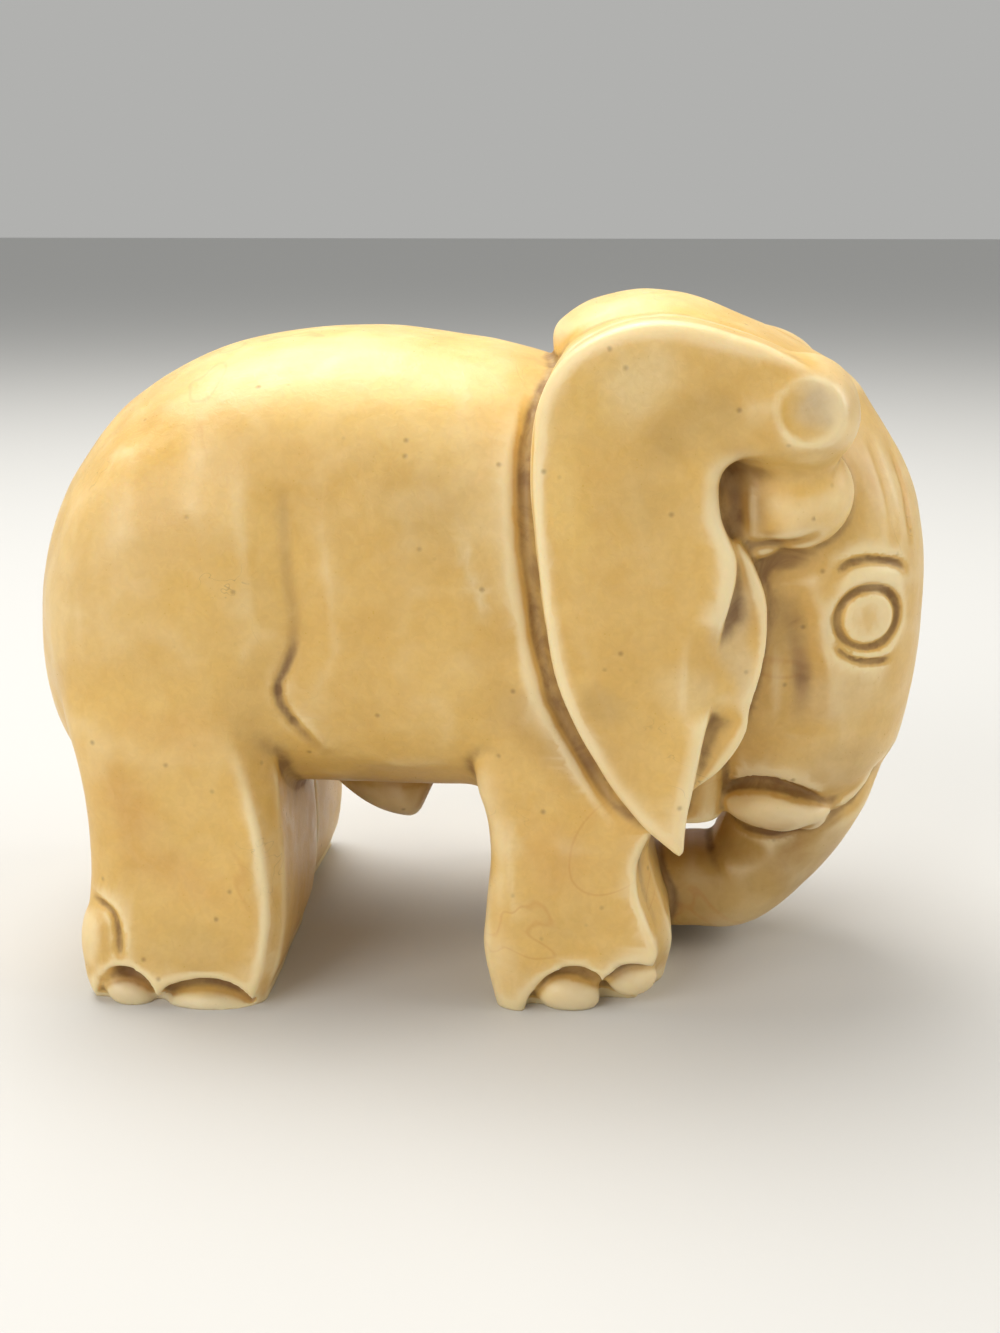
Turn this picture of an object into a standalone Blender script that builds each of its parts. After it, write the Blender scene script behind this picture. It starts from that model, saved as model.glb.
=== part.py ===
"""Alabaster elephant statuette, carved from one block of honey-yellow stone.

The forms are blocked out as lofts and rounded lumps, fused into one solid and rubbed smooth,
as a carver takes down the block. Then the thinner ears, lips and toenails are added, and the
grooves, hollows and swells are carved along strokes drawn in side view.
Metres, +Z up. The head looks along +X and the elephant's left side is +Y.
"""

import math

import bmesh
import bpy
import numpy as np

MM = 0.001

# Driving dimensions, in millimetres
HEIGHT = 112.0
BACK_TOP = 106.3
RUMP_X = -74.3
FACE_X = 75.0
HAUNCH = 39.0
BARREL = 37.0
EAR_OUTER = 39.5
FOOT_FLARE = 1.5
BELLY_BOTTOM = 30.0
KEEL_BOTTOM = 22.5
TRUNK_BOTTOM = 3.5
SLOT_NEAR = -1.5
SLOT_FAR = 9.5
EYE = (62.6, 62.0)
EYE_RADIUS = 4.4

# Fineness of the fused solid, in millimetres and passes
BLOCK_VOXEL = 1.6
BLOCK_PASSES = 14
FINE_VOXEL = 1.0
FINE_PASSES = 5
TRIANGLES = 9400

STONE_COLOUR = (0.68, 0.42, 0.12, 1.0)
STONE_ROUGHNESS = 0.38

NEAR, FAR = -1, 1


def clear_scene():
    for thing in list(bpy.data.objects):
        bpy.data.objects.remove(thing, do_unlink=True)


def new_collection(name):
    made = bpy.data.collections.new(name)
    bpy.context.scene.collection.children.link(made)
    return made


# Curves and skins

def through(keys, count):
    """Rows on a smooth curve that passes through the key rows."""
    keys = np.array(keys, dtype=float)
    padded = np.vstack([2 * keys[0] - keys[1], keys, 2 * keys[-1] - keys[-2]])
    rows = []
    for t in np.linspace(0, len(keys) - 1, count):
        i = min(int(t), len(keys) - 2)
        f = t - i
        a, b, c, d = padded[i : i + 4]
        slope = c - a
        bend = 2 * a - 5 * b + 4 * c - d
        twist = 3 * b - a - 3 * c + d
        rows.append(b + 0.5 * (slope * f + bend * f**2 + twist * f**3))
    return np.array(rows)


def closed_through(keys, count):
    """The same for a closed outline."""
    keys = np.array(keys, dtype=float)
    wrapped = np.vstack([keys[-2:], keys, keys[:3]])
    rows = through(wrapped, (len(wrapped) - 1) * 12 + 1)[24:-24]
    steps = np.linalg.norm(np.diff(rows, axis=0), axis=1)
    run = np.concatenate([[0], np.cumsum(steps)])
    even = np.linspace(0, run[-1], count, endpoint=False)
    return np.stack([np.interp(even, run, column) for column in rows.T], axis=1)


def skin(rings):
    """Vertices and faces of a closed tube through rings of equal length."""
    count, size = len(rings), len(rings[0])
    faces = []
    for r in range(count - 1):
        for s in range(size):
            a = r * size + s
            b = r * size + (s + 1) % size
            faces.append((a, b, b + size, a + size))
    faces.append(tuple(range(size))[::-1])
    faces.append(tuple(range((count - 1) * size, count * size)))
    return np.vstack(rings), faces


def loft(keys, direction, rings=40, segments=40):
    """Superellipse sections skinned along X, along Z or along a path in the XZ plane.

    A row is x, y, z, half width in Y, half depth across the run, and squareness, where 2 is an
    ellipse and more squares its corners.
    """
    rows = through(keys, rings)
    centres = rows[:, :3]
    across = np.zeros((rings, 3))
    if direction == "X":
        across[:, 2] = 1.0
    elif direction == "Z":
        across[:, 0] = 1.0
    else:
        run = np.gradient(centres, axis=0)
        across[:, 0] = -run[:, 2]
        across[:, 2] = run[:, 0]
        across /= np.linalg.norm(across, axis=1, keepdims=True)
    turns = np.linspace(0, 2 * math.pi, segments, endpoint=False)
    c, s = np.cos(turns), np.sin(turns)
    made = []
    for centre, side, (half_width, half_depth, squareness) in zip(centres, across, rows[:, 3:]):
        u = half_width * np.sign(c) * abs(c) ** (2 / squareness)
        v = half_depth * np.sign(s) * abs(s) ** (2 / squareness)
        made.append(centre + np.outer(u, (0, 1, 0)) + np.outer(v, side))
    return skin(made)


def lump(centre, half, turn=0.0):
    """An egg of stone, turned in the XZ plane by an angle in degrees."""
    shape = bmesh.new()
    bmesh.ops.create_uvsphere(shape, u_segments=32, v_segments=20, radius=1.0)
    points = np.array([v.co[:] for v in shape.verts]) * np.array(half)
    faces = [tuple(v.index for v in face.verts) for face in shape.faces]
    shape.free()
    c, s = math.cos(math.radians(turn)), math.sin(math.radians(turn))
    turned = np.stack(
        [points[:, 0] * c - points[:, 2] * s, points[:, 1], points[:, 0] * s + points[:, 2] * c],
        axis=1,
    )
    return turned + np.array(centre), faces


def plate(outline, y_inner, y_outer, rounding, count=90):
    """A plate cut to an outline in the XZ plane, its outer edge rounded over."""
    ring = closed_through(outline, count)
    along = np.roll(ring, -1, axis=0) - np.roll(ring, 1, axis=0)
    area = np.sum(ring[:, 0] * np.roll(ring[:, 1], -1) - ring[:, 1] * np.roll(ring[:, 0], -1))
    inward = np.stack([-along[:, 1], along[:, 0]], axis=1) * np.sign(area)
    inward /= np.linalg.norm(inward, axis=1, keepdims=True)
    outward = np.sign(y_outer - y_inner)
    steps = [(y_inner, 0.0)]
    for turn in (0, 30, 60, 85):
        a = math.radians(turn)
        steps.append((y_outer - outward * rounding * (1 - math.sin(a)), rounding * (1 - math.cos(a))))
    rings = []
    for y, inset in steps:
        flat = ring + inward * inset
        rings.append(np.stack([flat[:, 0], np.full(count, y), flat[:, 1]], axis=1))
    return skin(rings)


# Forms of the block

def barrel():
    """Rounded rump, arched back, and the dip behind the head."""
    stations = [
        # x, top, bottom, half width, squareness
        (RUMP_X, 68.0, 47.0, 11.0, 2.0),
        (RUMP_X + 1.6, 76.5, 37.0, 21.0, 2.1),
        (-67.2, 86.0, 30.0, 30.0, 2.2),
        (-58.0, 96.3, 28.0, 36.0, 2.4),
        (-42.0, 104.0, 30.0, HAUNCH - 0.5, 2.5),
        (-22.0, BACK_TOP, BELLY_BOTTOM, BARREL, 2.7),
        (-2.0, 105.0, BELLY_BOTTOM, BARREL - 0.5, 2.7),
        (12.0, 102.4, 32.0, 35.0, 2.5),
        (26.0, 98.0, 32.0, 31.0, 2.4),
        (38.0, 90.0, 34.0, 24.0, 2.2),
    ]
    keys = [
        (x, 0.0, (top + low) / 2, wide, (top - low) / 2, square)
        for x, top, low, wide, square in stations
    ]
    return loft(keys, "X")


def block_leg(stations):
    """A block leg from rows of z, back, front, outer, inner and squareness."""
    keys = [
        ((back + front) / 2, (outer + inner) / 2, z, abs(outer - inner) / 2, (front - back) / 2, sq)
        for z, back, front, outer, inner, sq in stations
    ]
    return loft(keys, "Z", rings=50, segments=48)


def hind_leg(side, slot):
    wide = HAUNCH * side
    square = 6.0 if side == NEAR else 3.2
    return block_leg(
        [
            (-3.0, -63.0, -34.2, wide, slot, square),
            (3.0, -66.0, -33.2, wide + FOOT_FLARE * side, slot, square),
            (9.0, -66.3, -33.0, wide + 0.5 * side, slot, square),
            (16.0, -65.3, -33.0, wide - 1.0 * side, slot, square),
            (27.0, -65.0, -32.5, wide - 2.0 * side, slot, square * 0.9),
            (40.0, -67.5, -30.5, wide - 0.8 * side, slot * 0.5, 3.4),
            (52.0, -71.0, -27.5, wide + 0.3 * side, 0.0, 2.8),
            (66.0, -71.5, -27.5, wide, 0.0, 2.4),
            (80.0, -66.0, -33.0, wide - 2.5 * side, 0.0, 2.2),
            (90.0, -59.0, -42.0, wide - 8.0 * side, 0.0, 2.0),
        ]
    )


def front_leg(side, slot):
    wide = BARREL * side
    return block_leg(
        [
            (-3.0, 5.5, 29.0, wide - 1.0 * side, slot, 4.0),
            (3.0, 3.0, 33.0, wide + FOOT_FLARE * side, slot, 4.0),
            (9.0, 2.6, 33.0, wide - 0.3 * side, slot, 4.0),
            (15.0, 3.0, 30.5, wide - 2.0 * side, slot, 4.0),
            (22.0, 3.6, 28.4, wide - 3.5 * side, slot, 3.8),
            (30.0, 2.8, 30.0, wide - 3.0 * side, slot, 3.4),
            (42.0, -1.0, 33.0, wide - 1.5 * side, 0.0, 2.8),
            (60.0, -3.0, 34.0, wide - 1.5 * side, 0.0, 2.4),
            (74.0, 2.0, 30.0, wide - 5.0 * side, 0.0, 2.0),
        ]
    )


def head():
    """High crown, forehead and the block of the face, narrowing to the jaw."""
    stations = [
        # z, back, front, half width, squareness
        (24.5, 44.0, 57.0, 9.0, 2.4),
        (28.0, 40.5, 62.5, 14.5, 2.6),
        (36.0, 34.0, 70.5, 19.0, 2.8),
        (48.0, 28.0, 73.6, 23.0, 3.0),
        (62.0, 24.0, FACE_X, 26.0, 3.0),
        (74.0, 22.0, 74.3, 27.0, 2.9),
        (85.0, 18.0, 70.8, 26.5, 2.6),
        (95.0, 14.0, 63.5, 24.5, 2.5),
        (103.5, 11.0, 52.0, 21.0, 2.5),
        (109.0, 12.5, 41.5, 15.5, 2.4),
        (HEIGHT, 18.0, 35.0, 8.0, 2.2),
    ]
    keys = [
        ((back + front) / 2, 0.0, z, wide, (front - back) / 2, square)
        for z, back, front, wide, square in stations
    ]
    return loft(keys, "Z")


def trunk():
    """Down from the face, then curling back to meet the front legs."""
    keys = [
        (58.5, 0.0, 46.0, 17.0, 12.5, 2.8),
        (57.5, 0.0, 36.0, 15.5, 11.5, 2.8),
        (54.5, 0.0, 26.0, 14.0, 11.0, 2.8),
        (50.0, 0.0, 17.3, 12.5, 9.2, 2.8),
        (44.0, 0.0, TRUNK_BOTTOM + 6.6, 11.5, 6.3, 3.0),
        (36.0, 0.0, TRUNK_BOTTOM + 5.3, 11.0, 5.3, 3.0),
        (26.0, 0.0, TRUNK_BOTTOM + 6.0, 10.5, 6.0, 3.0),
    ]
    return loft(keys, "path", rings=36, segments=36)


def throat():
    """The column that the chin and the ears rest on, cut flat below."""
    keys = [
        (30.5, 0.0, 20.5, 19.0, 11.0, 5.0),
        (30.5, 0.0, 30.0, 20.0, 11.5, 5.0),
        (30.0, 0.0, 44.0, 23.0, 13.5, 3.0),
        (30.0, 0.0, 60.0, 26.0, 15.0, 2.4),
    ]
    return loft(keys, "Z")


def keel():
    """The ridge under the belly."""
    return lump((-13.0, 0.0, 32.0), (14.5, 8.0, 32.0 - KEEL_BOTTOM), turn=-5.0)


# Thinner forms, added to the rubbed block

EAR_LOBE = [
    # x, z from the free tip, up the back edge, over the top and down the front edge
    (33.6, 27.5),
    (30.5, 30.0),
    (24.5, 36.5),
    (18.5, 45.5),
    (13.8, 60.0),
    (11.0, 76.0),
    (10.6, 90.0),
    (13.5, 99.5),
    (21.0, 105.5),
    (31.0, 107.6),
    (41.0, 105.0),
    (45.0, 97.0),
    (41.0, 89.0),
    (38.2, 84.0),
    (40.2, 74.0),
    (38.8, 63.0),
    (37.0, 55.0),
    (36.8, 46.0),
    (35.2, 37.0),
]

EAR_FLAP = [
    # x, z round the flap that shows in front of the lobe
    (40.5, 76.5),
    (44.0, 71.5),
    (46.3, 65.0),
    (46.0, 58.0),
    (44.6, 50.0),
    (42.0, 43.0),
    (37.5, 37.5),
    (33.0, 40.0),
    (32.0, 60.0),
    (36.0, 74.0),
]


def ear(side):
    return plate(EAR_LOBE, 20.0 * side, EAR_OUTER * side, 3.2)


def ear_flap(side):
    return plate(EAR_FLAP, 18.0 * side, (EAR_OUTER - 5.0) * side, 1.6)


def ear_roll(side):
    """The rolled top of the ear, thickening to a knob at its front end."""
    keys = [
        (19.0, 34.0 * side, 101.5, 4.5, 4.0, 2.2),
        (32.0, 34.5 * side, 102.0, 6.0, 5.5, 2.2),
        (44.0, 34.5 * side, 98.0, 7.0, 8.0, 2.3),
        (52.5, 34.5 * side, 93.8, 7.0, 7.5, 2.3),
        (57.5, 34.5 * side, 91.2, 4.5, 5.0, 2.2),
    ]
    return loft(keys, "path", rings=24, segments=28)


def temple(side):
    """The lump under the knob."""
    return lump((48.5, 25.0 * side, 80.5), (9.5, 8.0, 6.5), turn=8.0)


def lower_lip(side):
    return lump((51.0, 15.5 * side, 28.5), (9.5, 5.0, 4.2), turn=-8.0)


def heel(side):
    return lump((-61.8, 34.0 * side, 9.0), (3.8, 5.0, 8.0), turn=4.0)


NAILS = [
    # x, z, half length, half height, distance of the centre from the middle plane
    (-54.5, 1.5, 5.2, 3.0, 36.8),
    (-42.5, 0.6, 7.0, 3.2, 37.8),
    (17.5, 2.2, 6.0, 4.0, 35.4),
    (26.5, 3.4, 4.6, 3.8, 32.8),
]


def nails(side):
    return [lump((x, y * side, z), (long, 3.2, high), turn=-6.0) for x, z, long, high, y in NAILS]


# Fusing and carving

def to_object(forms, name, target):
    mesh = bpy.data.meshes.new(name)
    points = []
    faces = []
    for form_points, form_faces in forms:
        start = len(points)
        points += [tuple(p * MM) for p in form_points]
        faces += [tuple(i + start for i in face) for face in form_faces]
    mesh.from_pydata(points, [], faces)
    shape = bmesh.new()
    shape.from_mesh(mesh)
    bmesh.ops.recalc_face_normals(shape, faces=shape.faces[:])
    shape.to_mesh(mesh)
    shape.free()
    thing = bpy.data.objects.new(name, mesh)
    target.objects.link(thing)
    return thing


def rub_down(thing, voxel, passes):
    """Fuses what overlaps and softens the joins, then keeps the result as the object's mesh."""
    fuse = thing.modifiers.new("Fuse", "REMESH")
    fuse.mode = "VOXEL"
    fuse.voxel_size = voxel * MM
    rub = thing.modifiers.new("Rub down", "SMOOTH")
    rub.factor = 0.5
    rub.iterations = passes
    keep_result(thing)


def keep_result(thing):
    graph = bpy.context.evaluated_depsgraph_get()
    finished = bpy.data.meshes.new_from_object(thing.evaluated_get(graph))
    rough = thing.data
    thing.modifiers.clear()
    thing.data = finished
    bpy.data.meshes.remove(rough)
    finished.name = thing.name


def as_form(thing):
    """The object's mesh as a form in millimetres, and the object is used up."""
    mesh = thing.data
    points = np.array([v.co[:] for v in mesh.vertices]) / MM
    faces = [tuple(face.vertices) for face in mesh.polygons]
    bpy.data.objects.remove(thing, do_unlink=True)
    return points, faces


def reach(points, path, width):
    """How much a stroke along a path in side view takes hold of each point, from 0 to 1.

    An open stroke fades at both ends.
    """
    line = through(path, 6 * (len(path) - 1) + 1)
    steps = np.linalg.norm(np.diff(line, axis=0), axis=1)
    run = np.concatenate([[0], np.cumsum(steps)])
    is_ring = np.linalg.norm(line[0] - line[-1]) < 0.01
    fade_length = min(3 * width, run[-1] / 3)
    fade = np.clip(np.minimum(run, run[-1] - run) / fade_length, 0, 1)
    if is_ring:
        fade[:] = 1
    flat = points[:, [0, 2]]
    taken = np.zeros(len(flat))
    near = np.nonzero(np.all(abs(flat - line.mean(axis=0)) < np.ptp(line, axis=0) + width, axis=1))[0]
    for i, step in enumerate(np.diff(line, axis=0)):
        away = flat[near] - line[i]
        t = np.clip(away @ step / max(step @ step, 1e-9), 0, 1)
        distance = np.linalg.norm(away - t[:, None] * step, axis=1)
        hold = fade[i] + (fade[i + 1] - fade[i]) * t
        taken[near] = np.maximum(taken[near], hold * np.clip(1 - (distance / width) ** 2, 0, 1) ** 2)
    return taken


def carve(mesh, strokes):
    """Cuts grooves (positive depth) and raises swells (negative) on both flanks."""
    points = np.empty(len(mesh.vertices) * 3)
    normals = np.empty(len(mesh.vertices) * 3)
    mesh.vertices.foreach_get("co", points)
    mesh.vertices.foreach_get("normal", normals)
    points = points.reshape(-1, 3) / MM
    normals = normals.reshape(-1, 3)
    flank = np.clip(normals[:, 1] * np.sign(points[:, 1]) / 0.3, 0, 1)
    cut = np.zeros(len(points))
    for path, width, depth, least_y in strokes:
        outside = np.clip((abs(points[:, 1]) - least_y) / 2.0, 0, 1)
        cut += reach(points, path, width) * depth * flank * outside
    inward = normals * np.array([0.3, 1.0, 0.3])
    inward /= np.linalg.norm(inward, axis=1, keepdims=True)
    moved = points - inward * cut[:, None]
    mesh.vertices.foreach_set("co", (moved * MM).ravel())
    mesh.update()


def arc(centre, radius, start, end, count=9):
    turns = np.radians(np.linspace(start, end, count))
    return [(centre[0] + radius * math.cos(a), centre[1] + radius * math.sin(a)) for a in turns]


def strokes():
    """Path in side view, half width, depth, and least distance from the middle plane."""
    return [
        # Fold between haunch and belly
        ([(-28.0, 92.0), (-27.5, 68.0), (-29.5, 54.0), (-27.0, 47.0), (-20.0, 39.0)], 4.0, 1.3, 20),
        # Groove behind the ear
        ([(11.5, 98.0), (9.0, 88.0), (9.5, 74.0), (12.5, 59.0), (17.5, 44.0), (26.0, 33.0)], 2.4, 1.4, 20),
        # Hollow between ear and eye
        ([(49.5, 72.0), (52.0, 60.0), (52.5, 46.0)], 5.0, 1.2, 8),
        # Round the eye
        (arc(EYE, EYE_RADIUS + 0.8, 0, 360, 17), 1.5, 1.4, 8),
        (arc((EYE[0], EYE[1] - 2.5), 11.0, 58, 122), 1.4, 1.1, 8),
        (arc((EYE[0] - 0.8, EYE[1] + 1.8), 9.5, 220, 305), 1.4, 1.1, 8),
        # Mouth
        ([(43.0, 31.5), (48.0, 34.3), (53.5, 33.2), (59.0, 29.5)], 1.6, 1.6, 8),
        # Arches over the toenails
        ([(-60.5, 3.0), (-57.0, 6.0), (-52.5, 4.8), (-49.5, 1.5)], 2.0, 2.0, 20),
        ([(-49.0, 2.5), (-43.0, 4.5), (-37.0, 2.5), (-34.0, -0.5)], 2.0, 2.0, 20),
        ([(9.5, 1.0), (13.5, 6.0), (18.5, 7.2), (22.5, 4.5)], 2.2, 2.2, 20),
        ([(22.5, 4.5), (25.5, 8.0), (29.5, 6.5)], 1.6, 1.4, 15),
    ]


def finish_mesh(thing):
    """Softens the cuts a little and drops the faces that the form doesn't need."""
    rub = thing.modifiers.new("Soften cuts", "SMOOTH")
    rub.factor = 0.5
    rub.iterations = 2
    thin = thing.modifiers.new("Fewer faces", "DECIMATE")
    thin.ratio = TRIANGLES / (2 * len(thing.data.polygons))
    keep_result(thing)
    thing.data.shade_smooth()


def centre(thing):
    """Brings the middle of the elephant's length and width over the origin."""
    low = [min(v.co[i] for v in thing.data.vertices) for i in range(2)]
    high = [max(v.co[i] for v in thing.data.vertices) for i in range(2)]
    for vertex in thing.data.vertices:
        vertex.co.x -= (low[0] + high[0]) / 2
        vertex.co.y -= (low[1] + high[1]) / 2


def stand_flat(thing, cutters):
    """Cuts the soles flat at the ground."""
    bpy.ops.mesh.primitive_cube_add(size=1.0, location=(0, 0, -0.01))
    ground = bpy.context.object
    ground.name = "ground_cut"
    ground.scale = (0.3, 0.2, 0.02)
    for holder in list(ground.users_collection):
        holder.objects.unlink(ground)
    cutters.objects.link(ground)
    ground.hide_render = True
    ground.display_type = "WIRE"
    soles = thing.modifiers.new("Soles", "BOOLEAN")
    soles.operation = "DIFFERENCE"
    soles.solver = "EXACT"
    soles.object = ground


def stone():
    made = bpy.data.materials.new("honey_alabaster")
    made.use_nodes = True
    shader = made.node_tree.nodes["Principled BSDF"]
    shader.inputs["Base Color"].default_value = STONE_COLOUR
    shader.inputs["Roughness"].default_value = STONE_ROUGHNESS
    return made


def main():
    clear_scene()
    parts = new_collection("alabaster_elephant")
    block = [barrel()]
    for side, slot in ((NEAR, SLOT_NEAR), (FAR, SLOT_FAR)):
        block += [hind_leg(side, slot), front_leg(side, slot)]
    roughed = to_object(block, "roughed_block", parts)
    rub_down(roughed, BLOCK_VOXEL, BLOCK_PASSES)
    fine = [as_form(roughed), head(), trunk(), throat(), keel()]
    for side in (NEAR, FAR):
        fine += [ear(side), ear_flap(side), ear_roll(side), temple(side), lower_lip(side)]
        fine += [heel(side)] + nails(side)
    elephant = to_object(fine, "elephant", parts)
    rub_down(elephant, FINE_VOXEL, FINE_PASSES)
    carve(elephant.data, strokes())
    finish_mesh(elephant)
    centre(elephant)
    stand_flat(elephant, new_collection("cutters"))
    elephant.data.materials.append(stone())


main()
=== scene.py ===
# %% [markdown]
# # A hand-carved elephant in honey alabaster
# The real thing is one block of soft yellow stone, about as long as a hand, sawn, rasped, carved and
# rubbed to a waxy shine. This lesson follows the carver: rough out the block, add the thin forms,
# cut the grooves, wear the edges, then colour the stone. All sizes are millimetres until a mesh is made.

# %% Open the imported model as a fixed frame
import math

import bmesh
import bpy
import numpy as np
from mathutils import Matrix, Vector, noise


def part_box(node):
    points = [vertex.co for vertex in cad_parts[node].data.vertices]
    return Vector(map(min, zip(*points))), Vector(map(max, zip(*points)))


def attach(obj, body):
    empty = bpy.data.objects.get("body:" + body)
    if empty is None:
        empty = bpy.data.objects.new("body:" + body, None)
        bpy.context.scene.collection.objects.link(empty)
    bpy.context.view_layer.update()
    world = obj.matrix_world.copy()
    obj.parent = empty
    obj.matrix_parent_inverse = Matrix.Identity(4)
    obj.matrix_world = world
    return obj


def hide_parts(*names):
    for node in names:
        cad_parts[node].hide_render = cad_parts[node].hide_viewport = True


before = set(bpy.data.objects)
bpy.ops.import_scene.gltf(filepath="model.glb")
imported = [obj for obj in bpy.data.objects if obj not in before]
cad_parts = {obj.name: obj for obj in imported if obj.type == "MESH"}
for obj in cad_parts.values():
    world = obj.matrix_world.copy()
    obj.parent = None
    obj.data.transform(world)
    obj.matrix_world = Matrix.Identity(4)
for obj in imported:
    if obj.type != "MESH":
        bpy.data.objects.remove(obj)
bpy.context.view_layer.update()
MM = 0.001
NEAR, FAR = -1, 1

# %% [markdown]
# ## Camera
# The statuette was seen from its right side, a little above the back and from about 30 cm away. A
# camera can be aimed with a constraint, but its place, pitch and turn are known here, so the matrix is
# built from its three directions. A focal length in pixels becomes a lens in millimetres on a 36 mm
# sensor laid along the picture's long side.

# %% Camera
PICTURE_WIDE, PICTURE_HIGH = 1000, 1333
FOCAL_PIXELS = 1800.0
SENSOR = 36.0
DISTANCE = 306.0
CAMERA_HEIGHT = 127.3
CAMERA_ALONG = 2.38
TURN = math.radians(4.5)
HORIZON_ROW = 200.0


def add_camera():
    pitch = math.atan((PICTURE_HIGH / 2 - HORIZON_ROW) / FOCAL_PIXELS)
    right = Vector((math.cos(TURN), math.sin(TURN), 0.0))
    ahead = Vector((-math.sin(TURN) * math.cos(pitch), math.cos(TURN) * math.cos(pitch), -math.sin(pitch)))
    up = right.cross(ahead)
    place = Vector(
        (CAMERA_ALONG + DISTANCE * math.sin(TURN), -DISTANCE * math.cos(TURN), CAMERA_HEIGHT)
    )
    lens = bpy.data.cameras.new("camera")
    lens.sensor_width = SENSOR
    lens.lens = FOCAL_PIXELS * SENSOR / PICTURE_HIGH
    lens.clip_start = 0.01
    camera = bpy.data.objects.new("camera", lens)
    bpy.context.scene.collection.objects.link(camera)
    camera.matrix_world = Matrix.Translation(place * MM) @ Matrix((right, up, -ahead)).transposed().to_4x4()
    bpy.context.scene.camera = camera
    print("Camera pitch", round(math.degrees(pitch), 2), "degrees, lens", round(lens.lens, 1), "mm")


add_camera()

# %% [markdown]
# ## Light and floor
# A polished stone shows its form through wide, soft reflections. Small lamps would give hard white
# dots, so the light comes from large panels: one overhead and a little behind, which brightens the
# back and leaves the jaw in shade, and weaker ones from the front left and from the right.
# The world adds a pale fill.

# %% Light and floor
AIM = Vector((0.0, 0.0, 0.055))
PANELS = [
    # name, place in metres, side length, power
    ("overhead", (-0.22, 0.30, 0.95), 0.75, 11.0),
    ("front_left", (-0.75, -1.00, 0.70), 0.90, 9.0),
    ("right", (0.95, 0.05, 0.55), 0.60, 4.0),
]


def add_panel(name, place, size, power):
    light = bpy.data.lights.new(name, "AREA")
    light.size = size
    light.energy = power
    light.color = (1.0, 0.97, 0.92)
    panel = bpy.data.objects.new(name, light)
    bpy.context.scene.collection.objects.link(panel)
    panel.location = place
    panel.rotation_euler = (AIM - Vector(place)).to_track_quat("-Z", "Y").to_euler()


def add_surroundings():
    world = bpy.data.worlds.new("pale_room")
    bpy.context.scene.world = world
    world.use_nodes = True
    world.node_tree.nodes["Background"].inputs["Color"].default_value = (0.80, 0.80, 0.78, 1.0)
    world.node_tree.nodes["Background"].inputs["Strength"].default_value = 0.55
    bpy.ops.mesh.primitive_plane_add(size=12.0, location=(0, 0, 0))
    floor = bpy.context.object
    floor.name = "floor"
    paint = bpy.data.materials.new("pale_floor")
    paint.use_nodes = True
    shader = paint.node_tree.nodes["Principled BSDF"]
    shader.inputs["Base Color"].default_value = (0.60, 0.60, 0.59, 1.0)
    shader.inputs["Roughness"].default_value = 0.7
    floor.data.materials.append(paint)


for panel in PANELS:
    add_panel(*panel)
add_surroundings()
bpy.context.scene.view_settings.view_transform = "Standard"
print(len(PANELS), "soft panels and a pale floor")

# %% [markdown]
# ## Curves and skins
# Most of the animal is a row of cross-sections, as a carver saws a profile and then rounds it.
# Subdivision cages could do it too, but sections keep the measured profile exact. A smooth curve
# through a few key rows gives the sections, and a skin of quads joins them.

# %% Curves and skins


def through(keys, count):
    """Rows on a smooth curve that passes through the key rows."""
    keys = np.array(keys, dtype=float)
    padded = np.vstack([2 * keys[0] - keys[1], keys, 2 * keys[-1] - keys[-2]])
    rows = []
    for t in np.linspace(0, len(keys) - 1, count):
        i = min(int(t), len(keys) - 2)
        f = t - i
        a, b, c, d = padded[i : i + 4]
        slope = c - a
        bend = 2 * a - 5 * b + 4 * c - d
        twist = 3 * b - a - 3 * c + d
        rows.append(b + 0.5 * (slope * f + bend * f**2 + twist * f**3))
    return np.array(rows)


def closed_through(keys, count):
    """The same for a closed outline."""
    keys = np.array(keys, dtype=float)
    wrapped = np.vstack([keys[-2:], keys, keys[:3]])
    rows = through(wrapped, (len(wrapped) - 1) * 12 + 1)[24:-24]
    steps = np.linalg.norm(np.diff(rows, axis=0), axis=1)
    run = np.concatenate([[0], np.cumsum(steps)])
    even = np.linspace(0, run[-1], count, endpoint=False)
    return np.stack([np.interp(even, run, column) for column in rows.T], axis=1)


def skin(rings):
    """Vertices and faces of a closed tube through rings of equal length."""
    count, size = len(rings), len(rings[0])
    faces = []
    for r in range(count - 1):
        for s in range(size):
            a = r * size + s
            b = r * size + (s + 1) % size
            faces.append((a, b, b + size, a + size))
    faces.append(tuple(range(size))[::-1])
    faces.append(tuple(range((count - 1) * size, count * size)))
    return np.vstack(rings), faces


def loft(keys, direction, rings=60, segments=64):
    """Superellipse sections skinned along X, along Z or along a path in the XZ plane.

    A row is x, y, z, half width in Y, half depth across the run, and squareness, where 2 is an
    ellipse and more squares its corners.
    """
    rows = through(keys, rings)
    centres = rows[:, :3]
    across = np.zeros((rings, 3))
    if direction == "X":
        across[:, 2] = 1.0
    elif direction == "Z":
        across[:, 0] = 1.0
    else:
        run = np.gradient(centres, axis=0)
        across[:, 0] = -run[:, 2]
        across[:, 2] = run[:, 0]
        across /= np.linalg.norm(across, axis=1, keepdims=True)
    turns = np.linspace(0, 2 * math.pi, segments, endpoint=False)
    c, s = np.cos(turns), np.sin(turns)
    made = []
    for centre, side, (half_width, half_depth, squareness) in zip(centres, across, rows[:, 3:]):
        u = half_width * np.sign(c) * abs(c) ** (2 / squareness)
        v = half_depth * np.sign(s) * abs(s) ** (2 / squareness)
        made.append(centre + np.outer(u, (0, 1, 0)) + np.outer(v, side))
    return skin(made)


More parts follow.
